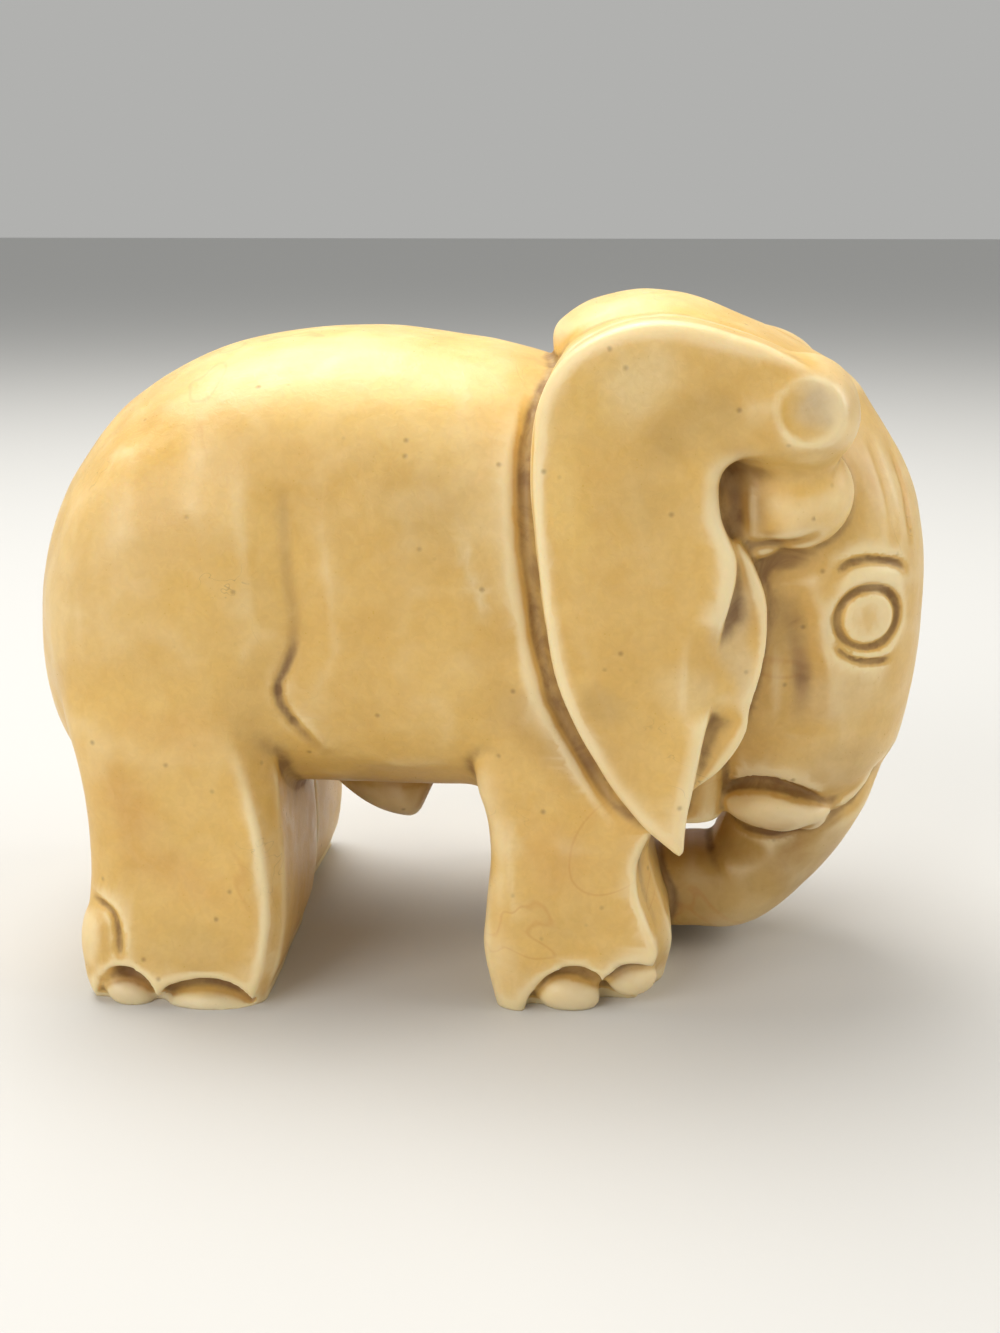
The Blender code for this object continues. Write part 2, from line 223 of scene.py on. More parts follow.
def lump(centre, half, turn=0.0):
    """An egg of stone, turned in the XZ plane by an angle in degrees."""
    shape = bmesh.new()
    bmesh.ops.create_uvsphere(shape, u_segments=36, v_segments=24, radius=1.0)
    points = np.array([v.co[:] for v in shape.verts]) * np.array(half)
    faces = [tuple(v.index for v in face.verts) for face in shape.faces]
    shape.free()
    c, s = math.cos(math.radians(turn)), math.sin(math.radians(turn))
    turned = np.stack(
        [points[:, 0] * c - points[:, 2] * s, points[:, 1], points[:, 0] * s + points[:, 2] * c],
        axis=1,
    )
    return turned + np.array(centre), faces


def plate(outline, y_inner, y_outer, rounding, count=220):
    """A plate cut to an outline in the XZ plane, its outer edge rounded over."""
    ring = closed_through(outline, count)
    along = np.roll(ring, -1, axis=0) - np.roll(ring, 1, axis=0)
    area = np.sum(ring[:, 0] * np.roll(ring[:, 1], -1) - ring[:, 1] * np.roll(ring[:, 0], -1))
    inward = np.stack([-along[:, 1], along[:, 0]], axis=1) * np.sign(area)
    inward /= np.linalg.norm(inward, axis=1, keepdims=True)
    outward = np.sign(y_outer - y_inner)
    steps = [(y_inner, 0.0)]
    for turn in (0, 20, 40, 60, 85):
        a = math.radians(turn)
        steps.append((y_outer - outward * rounding * (1 - math.sin(a)), rounding * (1 - math.cos(a))))
    rings = []
    for y, inset in steps:
        flat = ring + inward * inset
        rings.append(np.stack([flat[:, 0], np.full(count, y), flat[:, 1]], axis=1))
    return skin(rings)


print("A test loft has", len(loft([(0, 0, 0, 1, 1, 2), (5, 0, 0, 1, 1, 2)], "X")[0]), "points")

# %% [markdown]
# ## The rough block
# The barrel of the body runs along X: round rump, arched back, dip behind the head. The soft bulges
# of haunch and shoulder run down into the tops of the legs. They overlap, and a voxel remesh fuses
# them, which takes out every inner wall at once. Smoothing after it does what the rasp does: it
# rounds the joins between leg and flank. The feet come later, because they keep crisp corners.

# %% The rough block
HEIGHT = 113.0
BACK_TOP = 106.9
RUMP_X = -73.4
FACE_X = 73.5
HAUNCH = 39.0
BARREL = 37.0
BELLY_BOTTOM = 30.0
SLOTS = {NEAR: -1.5, FAR: 9.5}
BLOCK_VOXEL = 1.6
BLOCK_PASSES = 14


def barrel():
    """Rounded rump, arched back, and the dip behind the head."""
    stations = [
        # x, top, bottom, half width, squareness
        (RUMP_X, 68.0, 47.0, 11.0, 2.0),
        (RUMP_X + 1.3, 77.5, 37.0, 21.0, 2.1),
        (-67.2, 86.2, 30.0, 30.0, 2.2),
        (-57.6, 96.2, 28.0, 36.0, 2.4),
        (-42.0, 104.2, 30.0, HAUNCH - 0.5, 2.5),
        (-22.0, BACK_TOP, BELLY_BOTTOM, BARREL, 2.7),
        (-2.0, 105.0, BELLY_BOTTOM, BARREL - 0.5, 2.7),
        (12.0, 101.7, 32.0, 35.0, 2.5),
        (26.0, 98.0, 32.0, 31.0, 2.4),
        (38.0, 90.0, 34.0, 24.0, 2.2),
    ]
    keys = [
        (x, 0.0, (top + low) / 2, wide, (top - low) / 2, square)
        for x, top, low, wide, square in stations
    ]
    return loft(keys, "X")


def block_leg(stations):
    """A block leg from rows of z, back, front, outer, inner and squareness."""
    keys = [
        ((back + front) / 2, (outer + inner) / 2, z, abs(outer - inner) / 2, (front - back) / 2, sq)
        for z, back, front, outer, inner, sq in stations
    ]
    return loft(keys, "Z")


def haunch(side, slot):
    """The top of a hind leg, running down inside the crisp foot."""
    wide = HAUNCH * side
    inner = slot + side
    return block_leg(
        [
            (14.0, -61.0, -36.0, wide - 3.4 * side, inner, 3.4),
            (26.0, -61.0, -36.0, wide - 3.2 * side, inner, 3.4),
            (34.0, -62.6, -34.0, wide - 2.4 * side, inner, 3.4),
            (42.0, -65.0, -31.5, wide - 1.6 * side, slot * 0.5, 3.2),
            (52.0, -69.0, -28.0, wide - 0.5 * side, 0.0, 2.8),
            (66.0, -70.3, -27.5, wide, 0.0, 2.4),
            (80.0, -65.6, -33.0, wide - 2.5 * side, 0.0, 2.2),
            (90.0, -59.0, -42.0, wide - 8.0 * side, 0.0, 2.0),
        ]
    )


def shoulder(side, slot):
    """The top of a front leg. It is pinched in above the foot, under the bulge of the shoulder."""
    wide = BARREL * side
    inner = slot + side
    return block_leg(
        [
            (14.0, 5.5, 27.5, wide - 3.6 * side, inner, 3.4),
            (26.0, 5.0, 28.0, wide - 3.6 * side, inner, 3.4),
            (34.0, 1.2, 31.5, wide - 3.6 * side, inner, 3.2),
            (42.0, -2.0, 33.0, wide - 3.4 * side, slot * 0.5, 3.0),
            (51.0, -3.2, 34.0, wide - 1.4 * side, 0.0, 2.7),
            (62.0, -3.0, 34.0, wide - 1.0 * side, 0.0, 2.4),
            (74.0, 2.0, 30.0, wide - 5.0 * side, 0.0, 2.0),
        ]
    )


def to_object(forms, name):
    """One object, in metres, from forms in millimetres, their faces turned outwards."""
    points = []
    faces = []
    for form_points, form_faces in forms:
        start = len(points)
        points += [tuple(p * MM) for p in form_points]
        faces += [tuple(i + start for i in face) for face in form_faces]
    mesh = bpy.data.meshes.new(name)
    mesh.from_pydata(points, [], faces)
    shape = bmesh.new()
    shape.from_mesh(mesh)
    bmesh.ops.recalc_face_normals(shape, faces=shape.faces[:])
    shape.to_mesh(mesh)
    shape.free()
    thing = bpy.data.objects.new(name, mesh)
    bpy.context.scene.collection.objects.link(thing)
    return thing


def keep_result(thing):
    """Applies the modifiers."""
    graph = bpy.context.evaluated_depsgraph_get()
    finished = bpy.data.meshes.new_from_object(thing.evaluated_get(graph))
    rough = thing.data
    thing.modifiers.clear()
    thing.data = finished
    bpy.data.meshes.remove(rough)


def rub_down(thing, voxel, passes):
    """Fuses what overlaps and softens the joins."""
    fuse = thing.modifiers.new("Fuse", "REMESH")
    fuse.mode = "VOXEL"
    fuse.voxel_size = voxel * MM
    rub = thing.modifiers.new("Rub down", "SMOOTH")
    rub.factor = 0.5
    rub.iterations = passes
    keep_result(thing)


def as_form(thing):
    """The object's mesh as a form in millimetres. The object is used up."""
    points = np.array([v.co[:] for v in thing.data.vertices]) / MM
    faces = [tuple(face.vertices) for face in thing.data.polygons]
    bpy.data.objects.remove(thing, do_unlink=True)
    return points, faces


tops = [haunch(side, slot) for side, slot in SLOTS.items()] + [shoulder(side, slot) for side, slot in SLOTS.items()]
rough_block = to_object([barrel(), *tops], "rough_block")
rub_down(rough_block, BLOCK_VOXEL, BLOCK_PASSES)
forms = [as_form(rough_block)]
print("The rough block has", len(forms[0][1]), "faces")

# %% [markdown]
# ## Crisp legs and the arches over the toes
# Below the knee the saw marks were kept: each leg is a post with a rounded rear corner and a long
# chamfer down its front corner. The skin hangs over the toes in two arches, and the stone under them
# is cut back into dark pockets. Moving vertices can't make an overhang, so plates with an arched
# outline take the pockets out with a Boolean. These posts are fused on only at the finer size.

# %% Crisp legs and the arches over the toes
HIND_POST = [
    # z, back, end of the rear rounding, front ridge, front, outer face, width of the chamfer in Y
    (-3.0, -61.4, -53.5, -36.0, -34.0, 40.0, 4.5),
    (2.0, -63.4, -55.0, -34.8, -32.8, 40.8, 4.5),
    (6.0, -64.1, -55.5, -33.5, -31.3, 40.4, 4.0),
    (11.0, -63.7, -55.0, -32.7, -30.4, 39.5, 4.0),
    (16.0, -63.1, -54.5, -32.2, -30.0, 38.8, 4.0),
    (22.0, -62.7, -54.0, -32.7, -30.1, 38.2, 4.2),
    (28.0, -62.8, -54.0, -33.4, -30.5, 37.9, 4.8),
    (34.0, -63.4, -54.5, -34.4, -30.9, 38.0, 5.5),
    (40.0, -64.5, -55.5, -35.7, -31.2, 38.3, 6.5),
    (47.0, -66.0, -56.5, -38.0, -32.5, 38.2, 8.0),
    (54.0, -66.0, -57.0, -40.0, -34.0, 36.5, 9.0),
]
FRONT_POST = [
    (-3.0, 5.4, 10.0, 24.0, 31.0, 36.0, 16.0),
    (2.5, 4.0, 9.4, 26.4, 32.0, 37.4, 14.5),
    (9.6, 2.5, 8.0, 30.2, 32.8, 37.0, 9.5),
    (14.8, 2.6, 7.2, 28.9, 31.4, 36.3, 9.5),
    (19.3, 2.8, 6.5, 27.2, 29.9, 35.7, 9.5),
    (24.0, 3.2, 6.3, 26.9, 28.8, 35.3, 9.0),
    (28.0, 3.1, 6.3, 28.1, 29.6, 35.0, 8.0),
    (32.0, 2.4, 6.0, 30.3, 31.4, 34.4, 6.0),
    (37.0, 0.6, 5.0, 32.0, 33.0, 33.4, 5.0),
    (44.0, 0.6, 5.0, 32.0, 33.0, 31.5, 5.0),
]
FAR_HIND_SET_BACK = 2.0
TOE_ARCHES = [
    # x, z round each arch, and how far its floor lies from the middle plane
    ([(-61, -4), (-60.6, 3.8), (-59, 5.9), (-56.8, 6.7), (-54.4, 6.2), (-52.4, 4.8), (-50.8, 2.2), (-50.4, -4)], 36.6),
    ([(-50, -4), (-49.8, 2.4), (-47, 4.3), (-42.8, 5.1), (-38.6, 4.6), (-35.4, 2.4), (-33.5, -1), (-33.5, -4)], 37.0),
    ([(9.6, -4), (9.4, 1.5), (11, 4.2), (12.6, 6), (15, 7.4), (17.4, 7.8), (19.8, 7.2), (21.6, 5.6), (22.4, -4)], 33.6),
    ([(21, -4), (21.4, 4.6), (23.2, 6.9), (25, 8.2), (27.2, 8.6), (29, 8.2), (30.6, 6.4), (31.4, 3), (31.2, -4)], 30.5),
]


def post(rows, side, slot, rear_depth, sag, set_back=0.0):
    """A leg with a rounded rear corner and a chamfered front corner, which can sag inwards."""
    turns = np.radians(np.linspace(0, 90, 7))
    rings = []
    for z, back, rear, ridge, front, outer, chamfer in through(rows, 40):
        ring = [(back, slot * side)]
        ring += [(rear - (rear - back) * math.cos(a), outer - rear_depth * (1 - math.sin(a))) for a in turns]
        ring += [(ridge, outer), ((ridge + front) / 2 - sag, outer - chamfer / 2 - sag), (front, outer - chamfer)]
        ring += [(front - 0.5, slot * side)]
        rings.append(np.array([(x - set_back * (x > rear), y * side, z) for x, y in ring]))
    return skin(rings)


def cut_toe_pockets(legs):
    plates = [plate(arch, floor * side, 46.0 * side, 0.3, 60) for side in (NEAR, FAR) for arch, floor in TOE_ARCHES]
    cutter = to_object(plates, "toe_pockets")
    cut = legs.modifiers.new("Toe pockets", "BOOLEAN")
    cut.operation = "DIFFERENCE"
    cut.solver = "EXACT"
    cut.use_self = True
    cut.object = cutter
    keep_result(legs)
    bpy.data.objects.remove(cutter, do_unlink=True)


posts = [post(HIND_POST, NEAR, SLOTS[NEAR], 7.0, 0.0), post(HIND_POST, FAR, SLOTS[FAR], 7.0, 0.0, FAR_HIND_SET_BACK)]
posts += [post(FRONT_POST, side, slot, 3.0, 0.7) for side, slot in SLOTS.items()]
legs = to_object(posts, "legs")
cut_toe_pockets(legs)
forms.append(as_form(legs))
print("The legs with", 2 * len(TOE_ARCHES), "toe pockets have", len(forms[-1][1]), "faces")

# %% [markdown]
# ## Head, trunk and throat
# The head is one tall block: high crown, long forehead and cheeks that narrow to the jaw. The trunk
# drops from it and curls back between the front legs, which leaves a small see-through gap under the
# chin. A path loft turns its sections with the curl. The poll fills the width between the ears.

# %% Head, trunk and throat
TRUNK_BOTTOM = 2.7
THROAT_BOTTOM = 26.2
KEEL_BOTTOM = 20.9


def head():
    """High crown, forehead and the block of the face, narrowing to the jaw."""
    stations = [
        # z, back, front, half width, squareness
        (24.5, 44.0, 57.0, 9.0, 2.4),
        (28.0, 40.5, 62.5, 14.5, 2.6),
        (36.0, 34.0, 69.8, 19.0, 2.8),
        (48.0, 28.0, 72.3, 23.0, 3.0),
        (62.0, 24.0, FACE_X, 26.0, 3.0),
        (74.0, 22.0, 73.0, 27.0, 2.9),
        (85.0, 18.0, 70.2, 26.5, 2.6),
        (95.0, 14.0, 63.8, 24.5, 2.5),
        (99.5, 12.5, 60.3, 22.5, 2.5),
        (104.0, 11.4, 52.7, 20.0, 2.4),
        (107.0, 11.8, 47.0, 17.5, 2.4),
        (109.2, 14.0, 42.2, 15.0, 2.3),
        (111.2, 17.3, 37.4, 11.0, 2.2),
        (112.4, 21.4, 32.9, 7.5, 2.1),
        (HEIGHT, 25.0, 28.5, 3.5, 2.0),
    ]
    keys = [
        ((back + front) / 2, 0.0, z, wide, (front - back) / 2, square)
        for z, back, front, wide, square in stations
    ]
    return loft(keys, "Z", rings=90)


def trunk():
    """Down from the face, then curling back to meet the front legs."""
    keys = [
        (58.5, 0.0, 46.0, 17.0, 12.5, 2.8),
        (57.5, 0.0, 36.0, 15.5, 11.5, 2.8),
        (54.0, 0.0, 26.0, 14.0, 10.8, 2.8),
        (49.6, 0.0, 17.3, 12.5, 9.0, 2.8),
        (44.0, 0.0, TRUNK_BOTTOM + 7.8, 11.5, 7.4, 3.0),
        (36.0, 0.0, TRUNK_BOTTOM + 7.2, 11.0, 7.2, 3.0),
        (26.0, 0.0, TRUNK_BOTTOM + 7.0, 10.5, 7.0, 3.0),
    ]
    return loft(keys, "path")


def throat():
    """The column that the chin and the ears rest on, cut flat below."""
    keys = [
        (30.5, 0.0, THROAT_BOTTOM, 19.0, 11.0, 5.0),
        (30.5, 0.0, 34.0, 20.5, 11.8, 4.5),
        (30.0, 0.0, 44.0, 23.0, 13.5, 3.0),
        (30.0, 0.0, 60.0, 26.0, 15.0, 2.4),
    ]
    return loft(keys, "Z")


def keel():
    """The ridge under the belly, easy at the rear and steep in front."""
    rows = [
        # x, bottom, half width
        (-31.0, 31.0, 3.0),
        (-25.0, 25.6, 5.5),
        (-20.0, 22.4, 7.5),
        (-15.5, KEEL_BOTTOM, 8.0),
        (-12.5, KEEL_BOTTOM, 7.0),
        (-10.6, 24.2, 6.0),
        (-8.4, 28.6, 4.0),
        (-5.0, 32.0, 2.5),
    ]
    keys = [(x, 0.0, (38.0 + low) / 2, wide, (38.0 - low) / 2, 2.4) for x, low, wide in rows]
    return loft(keys, "X", 40)


def poll():
    """The broad top of the neck, from one ear's rim to the other, below the crown."""
    keys = [
        (11.5, 0.0, 90.0, 30.0, 10.0, 3.5),
        (15.0, 0.0, 90.0, 36.0, 15.5, 3.5),
        (21.0, 0.0, 90.0, 38.0, 19.0, 3.6),
        (28.0, 0.0, 91.0, 38.3, 19.0, 3.6),
        (35.0, 0.0, 95.0, 37.0, 14.3, 3.4),
        (42.0, 0.0, 98.5, 33.0, 8.5, 3.0),
        (48.0, 0.0, 99.0, 26.0, 5.0, 2.6),
    ]
    return loft(keys, "X")


forms += [head(), trunk(), throat(), keel(), poll()]
print("Block, legs, head, trunk, throat, keel and poll:", len(forms), "forms")

# %% [markdown]
# ## Ears
# Each ear is a slab that stands 4 mm proud of the neck. Its lobe hangs to a point, and a thinner flap
# shows in front of it. The top runs forward and ends in a thick knob over the temple. A plate cut to
# an outline, with a rounded outer edge, gives the slab, and eggs of stone give it its thickness.

# %% Ears
EAR_OUTER = 39.5
FLAP_OUTER = 34.9
FAR_KNOB_DROP = 2.5
EAR_LOBE = [
    # x, z from the free tip, up the back edge, over the top and down the front edge
    (33.9, 27.5),
    (31.0, 29.6),
    (27.6, 32.6),
    (22.6, 38.0),
    (18.2, 45.6),
    (14.3, 54.0),
    (12.1, 62.5),
    (10.6, 75.0),
    (9.8, 88.0),
    (11.0, 98.5),
    (15.2, 105.4),
    (23.0, 109.4),
    (31.0, 110.3),
    (40.0, 108.2),
    (48.0, 105.2),
    (54.0, 101.6),
    (56.8, 97.2),
    (54.6, 92.6),
    (48.0, 90.4),
    (41.6, 90.2),
    (38.2, 87.6),
    (38.2, 81.5),
    (40.4, 76.0),
    (40.8, 72.5),
    (40.3, 69.0),
    (39.4, 65.0),
    (38.4, 60.0),
    (38.2, 55.0),
    (37.6, 50.0),
    (36.6, 45.5),
    (35.6, 39.8),
    (34.5, 34.1),
    (34.2, 30.8),
]
EAR_FLAP = [
    # x, z round the flap that shows in front of the lobe
    (40.5, 77.5),
    (42.6, 75.0),
    (44.4, 71.4),
    (45.8, 67.5),
    (46.1, 62.0),
    (45.4, 56.5),
    (43.9, 51.0),
    (43.4, 47.0),
    (41.2, 42.8),
    (38.0, 39.2),
    (34.0, 37.5),
    (32.0, 44.0),
    (32.0, 60.0),
    (36.0, 74.0),
]


def ear(side):
    return plate(EAR_LOBE, 20.0 * side, EAR_OUTER * side, 1.8, 300)


def ear_flap(side):
    return plate(EAR_FLAP, 18.0 * side, FLAP_OUTER * side, 1.0)


def swell(side):
    """The top of the ear, thickening towards the knob."""
    return lump((46.0, 30.6 * side, 96.8), (13.0, 10.4, 9.0), turn=-8.0)


def knob(side):
    """The knob over the temple. The far one was carved lower than the near one."""
    drop = FAR_KNOB_DROP if side == FAR else 0.0
    return lump((50.2, 31.0 * side, 96.4 - drop), (8.6, 11.5, 9.0))


def temple(side):
    """The lump that the knob rests on."""
    return lump((50.0, 27.0 * side, 83.5), (9.0, 8.5, 8.5), turn=6.0)


def hollow_floor(side):
    """The ground of the hollow between ear and temple."""
    return lump((43.0, 25.0 * side, 82.0), (8.5, 8.4, 9.5))


for side in (NEAR, FAR):
    forms += [ear(side), ear_flap(side), swell(side), knob(side), temple(side), hollow_floor(side)]
print("With the ears:", len(forms), "forms")

# %% [markdown]
# ## Lips, heels and toenails
# Small rounded masses, each an egg of stone half sunk in its neighbour. Eggs fuse cleanly, and their
# turn and three radii are enough to describe a nail or a lip at this size.

# %% Lips, heels and toenails
NAILS = [
    # x, z, half length, half height, distance of the centre from the middle plane, turn
    (-55.6, 1.3, 4.4, 2.7, 37.2, -20.0),
    (-42.2, -0.4, 7.4, 3.1, 37.6, -2.0),
    (16.2, 2.2, 5.4, 3.3, 34.0, -8.0),
    (26.3, 4.6, 4.2, 3.4, 31.8, 4.0),
]


def small_masses(side):
    lower_lip = lump((50.0, 14.8 * side, 28.8), (9.4, 5.4, 4.4), turn=-8.0)
    heel = lump((-59.9, 33.7 * side, 8.6), (4.3, 5.7, 8.4), turn=3.0)
    nails = [lump((x, y * side, z), (long, 3.0, high), turn) for x, z, long, high, y, turn in NAILS]
    return [lower_lip, heel, *nails]


for side in (NEAR, FAR):
    forms += small_masses(side)
print("With lips, heels and nails:", len(forms), "forms")

# %% [markdown]
# ## Fuse the carving
# A finer voxel size than the block's keeps the ear edges and toenails crisp. The mesh is now dense and
# even, which suits carving by moving vertices.

# %% Fuse the carving
FINE_VOXEL = 0.62
FINE_PASSES = 5
carving = to_object(forms, "carved_elephant")
rub_down(carving, FINE_VOXEL, FINE_PASSES)
print("The fused carving has", len(carving.data.polygons), "faces")

# %% [markdown]
# ## Carving tools
# A stroke is a line drawn over the stone in side view, or in three dimensions where it runs over the
# top. How strongly it takes hold falls off with distance. Three blades are enough: a gouge cuts a round
# groove or, with a negative depth, leaves a swell; a knife cuts a ledge, deep along the line and running out to one
# side, for an edge that lies over another; a rasp brings everything in reach down to a plane.
# Both flanks are cut at once, because the animal is the same on its two sides.

# %% Carving tools


def read_points(mesh):
    flat = np.empty(len(mesh.vertices) * 3, dtype=np.float32)
    mesh.vertices.foreach_get("co", flat)
    return flat.reshape(-1, 3).astype(float) / MM


def write_points(mesh, points):
    mesh.vertices.foreach_set("co", (points * MM).astype(np.float32).ravel())
    mesh.update()


def edges_of(mesh):
    ends = np.empty(len(mesh.edges) * 2, dtype=np.int32)
    mesh.edges.foreach_get("vertices", ends)
    return ends.reshape(-1, 2)


def soften(values, edges, passes):
    """Averages each value with its neighbours', a few times."""
    count = len(values)
    a, b = edges.T
    share = np.maximum(np.bincount(a, minlength=count) + np.bincount(b, minlength=count), 1)
    values = values.reshape(count, -1)
    for _ in range(passes):
        mixed = []
        for column in values.T:
            total = np.bincount(a, column[b], count) + np.bincount(b, column[a], count)
            mixed.append(0.5 * column + 0.5 * total / share)
        values = np.stack(mixed, axis=1)
    return values


class Stone:
    """The carving's points and directions, and the depth that each point is still to lose."""

    def __init__(self, mesh):
        self.mesh = mesh
        self.edges = edges_of(mesh)
        self.start()

    def start(self):
        self.points = read_points(self.mesh)
        normals = np.empty(len(self.points) * 3, dtype=np.float32)
        self.mesh.vertices.foreach_get("normal", normals)
        self.normals = soften(normals.reshape(-1, 3), self.edges, 4)
        self.normals /= np.linalg.norm(self.normals, axis=1, keepdims=True)
        self.outward = self.normals[:, 1] * np.sign(self.points[:, 1])
        self.cut = np.zeros(len(self.points))

    def hold(self, path, width, one_sided=False, least_y=8.0):
        """How strongly a stroke takes hold of each point, from 0 to 1. It fades at open ends."""
        path = np.array(path, dtype=float)
        line = through(path, 6 * (len(path) - 1) + 1)
        is_flat = line.shape[1] == 2
        places = self.points[:, [0, 2]] if is_flat else self.points * (1, 0, 1) + abs(self.points) * (0, 1, 0)
        steps = np.linalg.norm(np.diff(line, axis=0), axis=1)
        run = np.concatenate([[0], np.cumsum(steps)])
        is_ring = np.linalg.norm(line[0] - line[-1]) < 0.01
        fade = np.clip(np.minimum(run, run[-1] - run) / min(3 * width, run[-1] / 3), 0, 1)
        fade = np.ones(len(run)) if is_ring else fade
        inside = (places > line.min(axis=0) - width) & (places < line.max(axis=0) + width)
        near = np.nonzero(inside.all(axis=1))[0]
        taken = np.zeros(len(places))
        closest = np.full(len(near), 1e9)
        for i, step in enumerate(np.diff(line, axis=0)):
            away = places[near] - line[i]
            t = np.clip(away @ step / max(step @ step, 1e-9), 0, 1)
            gap = away - t[:, None] * step
            distance = np.linalg.norm(gap, axis=1)
            strength = (fade[i] + (fade[i + 1] - fade[i]) * t) * np.clip(1 - (distance / width) ** 2, 0, 1) ** 2
            if one_sided:
                left = step[0] * away[:, 1] - step[1] * away[:, 0]
                strength *= np.clip(0.5 + left / np.linalg.norm(step) / 0.5, 0, 1)
            better = distance < closest
            taken[near[better]] = strength[better]
            closest = np.minimum(closest, distance)
        if is_flat:
            taken *= np.clip(self.outward / 0.3, 0, 1) * np.clip((abs(self.points[:, 1]) - least_y) / 2.0, 0, 1)
        return taken

    def gouge(self, path, width, depth, least_y=8.0):
        self.cut += depth * self.hold(path, width, least_y=least_y)

    def knife(self, path, width, depth, least_y=8.0):
        """Lowers the stone to the left of the path, most along it."""
        self.cut += depth * self.hold(path, width, True, least_y)

    def dish(self, centre, half, depth, turn=0.0, least_y=8.0):
        """A soft oval hollow, or a swell where the depth is negative."""
        away = self.points[:, [0, 2]] - np.array(centre)
        c, s = math.cos(math.radians(turn)), math.sin(math.radians(turn))
        along = (away[:, 0] * c + away[:, 1] * s) / half[0]
        across = (away[:, 1] * c - away[:, 0] * s) / half[1]
        taken = np.clip(1 - along**2 - across**2, 0, 1) ** 1.5
        taken *= np.clip(self.outward / 0.3, 0, 1) * (abs(self.points[:, 1]) > least_y)
        self.cut += depth * taken

    def rasp(self, origin, facing, reach):
        """Flattens what stands above a plane, within reach of its origin, on both sides."""
        for side in (NEAR, FAR):
            turned = np.array((facing[0], facing[1] * side, facing[2]))
            turned = turned / np.linalg.norm(turned)
            away = self.points - np.array((origin[0], origin[1] * side, origin[2]))
            above = away @ turned
            near = np.clip(4 - 4 * np.linalg.norm(away / np.array(reach), axis=1), 0, 1)
            self.points -= np.outer(np.clip(above, 0, None) * near, turned)

    def rub(self, centre, half, passes):
        """Smooths the joins inside an egg-shaped region, on both sides."""
        folded = self.points * (1, 0, 1) + abs(self.points) * (0, 1, 0)
        away = np.linalg.norm((folded - np.array(centre)) / np.array(half), axis=1)
        taken = np.clip(2 - 2 * away, 0, 1)
        near = np.nonzero(taken)[0]
        place = np.full(len(taken), -1)
        place[near] = np.arange(len(near))
        ends = place[self.edges]
        smooth = soften(self.points[near], ends[(ends >= 0).all(axis=1)], passes)
        self.points[near] += taken[near, None] * (smooth - self.points[near])
        write_points(self.mesh, self.points)
        self.start()

    def finish(self, across=0.3):
        """Takes off what the strokes have marked, mostly straight in from the flank."""
        inward = self.normals * np.array([across, 1.0, across])
        inward /= np.maximum(np.linalg.norm(inward, axis=1, keepdims=True), 1e-6)
        self.points -= inward * self.cut[:, None]
        write_points(self.mesh, self.points)
        self.start()


def arc(centre, radius, start, end, count=13):
    turns = np.radians(np.linspace(start, end, count))
    return [(centre[0] + radius * math.cos(a), centre[1] + radius * math.sin(a)) for a in turns]


stone = Stone(carving.data)
print("Carving starts on", len(stone.points), "points")

# %% [markdown]
# ## Large folds and hollows
# These are the cuts that show from a step away: the fold between haunch and belly, the groove behind
# the ear, the valley between ear and cheek, and the crease in front of the heel. The fold is soft
# high up and sharpens to a crease with small pits where the haunch meets the belly.

# %% Large folds and hollows
HAUNCH_FOLD = [(-28.2, 92), (-28.4, 81), (-27.3, 68), (-26.5, 62), (-27.9, 58), (-29.8, 54), (-29.0, 49), (-24, 40.5)]
HAUNCH_CREASE = [(-26.9, 63), (-27.0, 60), (-28.4, 56.5), (-29.8, 53.5), (-29.4, 50), (-27.2, 46), (-24, 41.5)]
BELLY_FOLD = [(-25.5, 40.5), (-20, 36.5), (-11.6, 35), (-4, 36), (1.5, 39)]
EAR_GROOVE = [(9.6, 98), (8.4, 88), (9.0, 76), (11.0, 62.5), (13.0, 53.5), (16.8, 45), (21.2, 37.5), (26, 32)]
HEEL_CREASE = [(-62.6, 17.6), (-60.0, 17.0), (-57.6, 15.6), (-56.7, 13.0), (-56.5, 10.2), (-56.2, 7.4)]
PITS = [(-29.9, 52.6), (-27.9, 47.0)]


def large_folds():
    stone.gouge(HAUNCH_FOLD, 7.0, 0.8, 20)
    stone.gouge(HAUNCH_CREASE, 1.3, 0.45, 20)
    for pit in PITS:
        stone.dish(pit, (0.9, 1.2), 0.4, least_y=20)
    stone.gouge(BELLY_FOLD, 4.0, 0.8, 12)
    stone.gouge(EAR_GROOVE, 2.4, 1.5, 20)
    stone.gouge([(47.4, 73), (49, 69), (51, 63), (52.5, 56), (53.2, 49.5), (52.5, 43)], 5.0, 1.4)
    stone.gouge(HEEL_CREASE, 1.1, 0.9, 20)
    stone.dish((44, 20), (5.5, 4.5), 0.9, least_y=4)
    stone.finish()


stone.rub((-51, 36, 46), (26, 14, 16), 70)
stone.rub((16, 34, 39), (20, 12, 10), 40)
stone.rub((-47, 39, 3), (18, 6, 7), 3)
stone.rub((20, 35, 4), (16, 9, 8), 3)
large_folds()
print("Deepest point under the belly fold, mm:", round(float(stone.points[:, 2].min()), 1))

# %% [markdown]
# ## Ear, knob and temple
# The lobe's front edge lies over the flap, but half way down it dies away: there the step between the
# two is filled with a ramp. A dark hollow is cut deep between ear, knob and temple, and a crease runs
# under the temple's lump. The end of the knob was rubbed flat.

# %% Ear, knob and temple


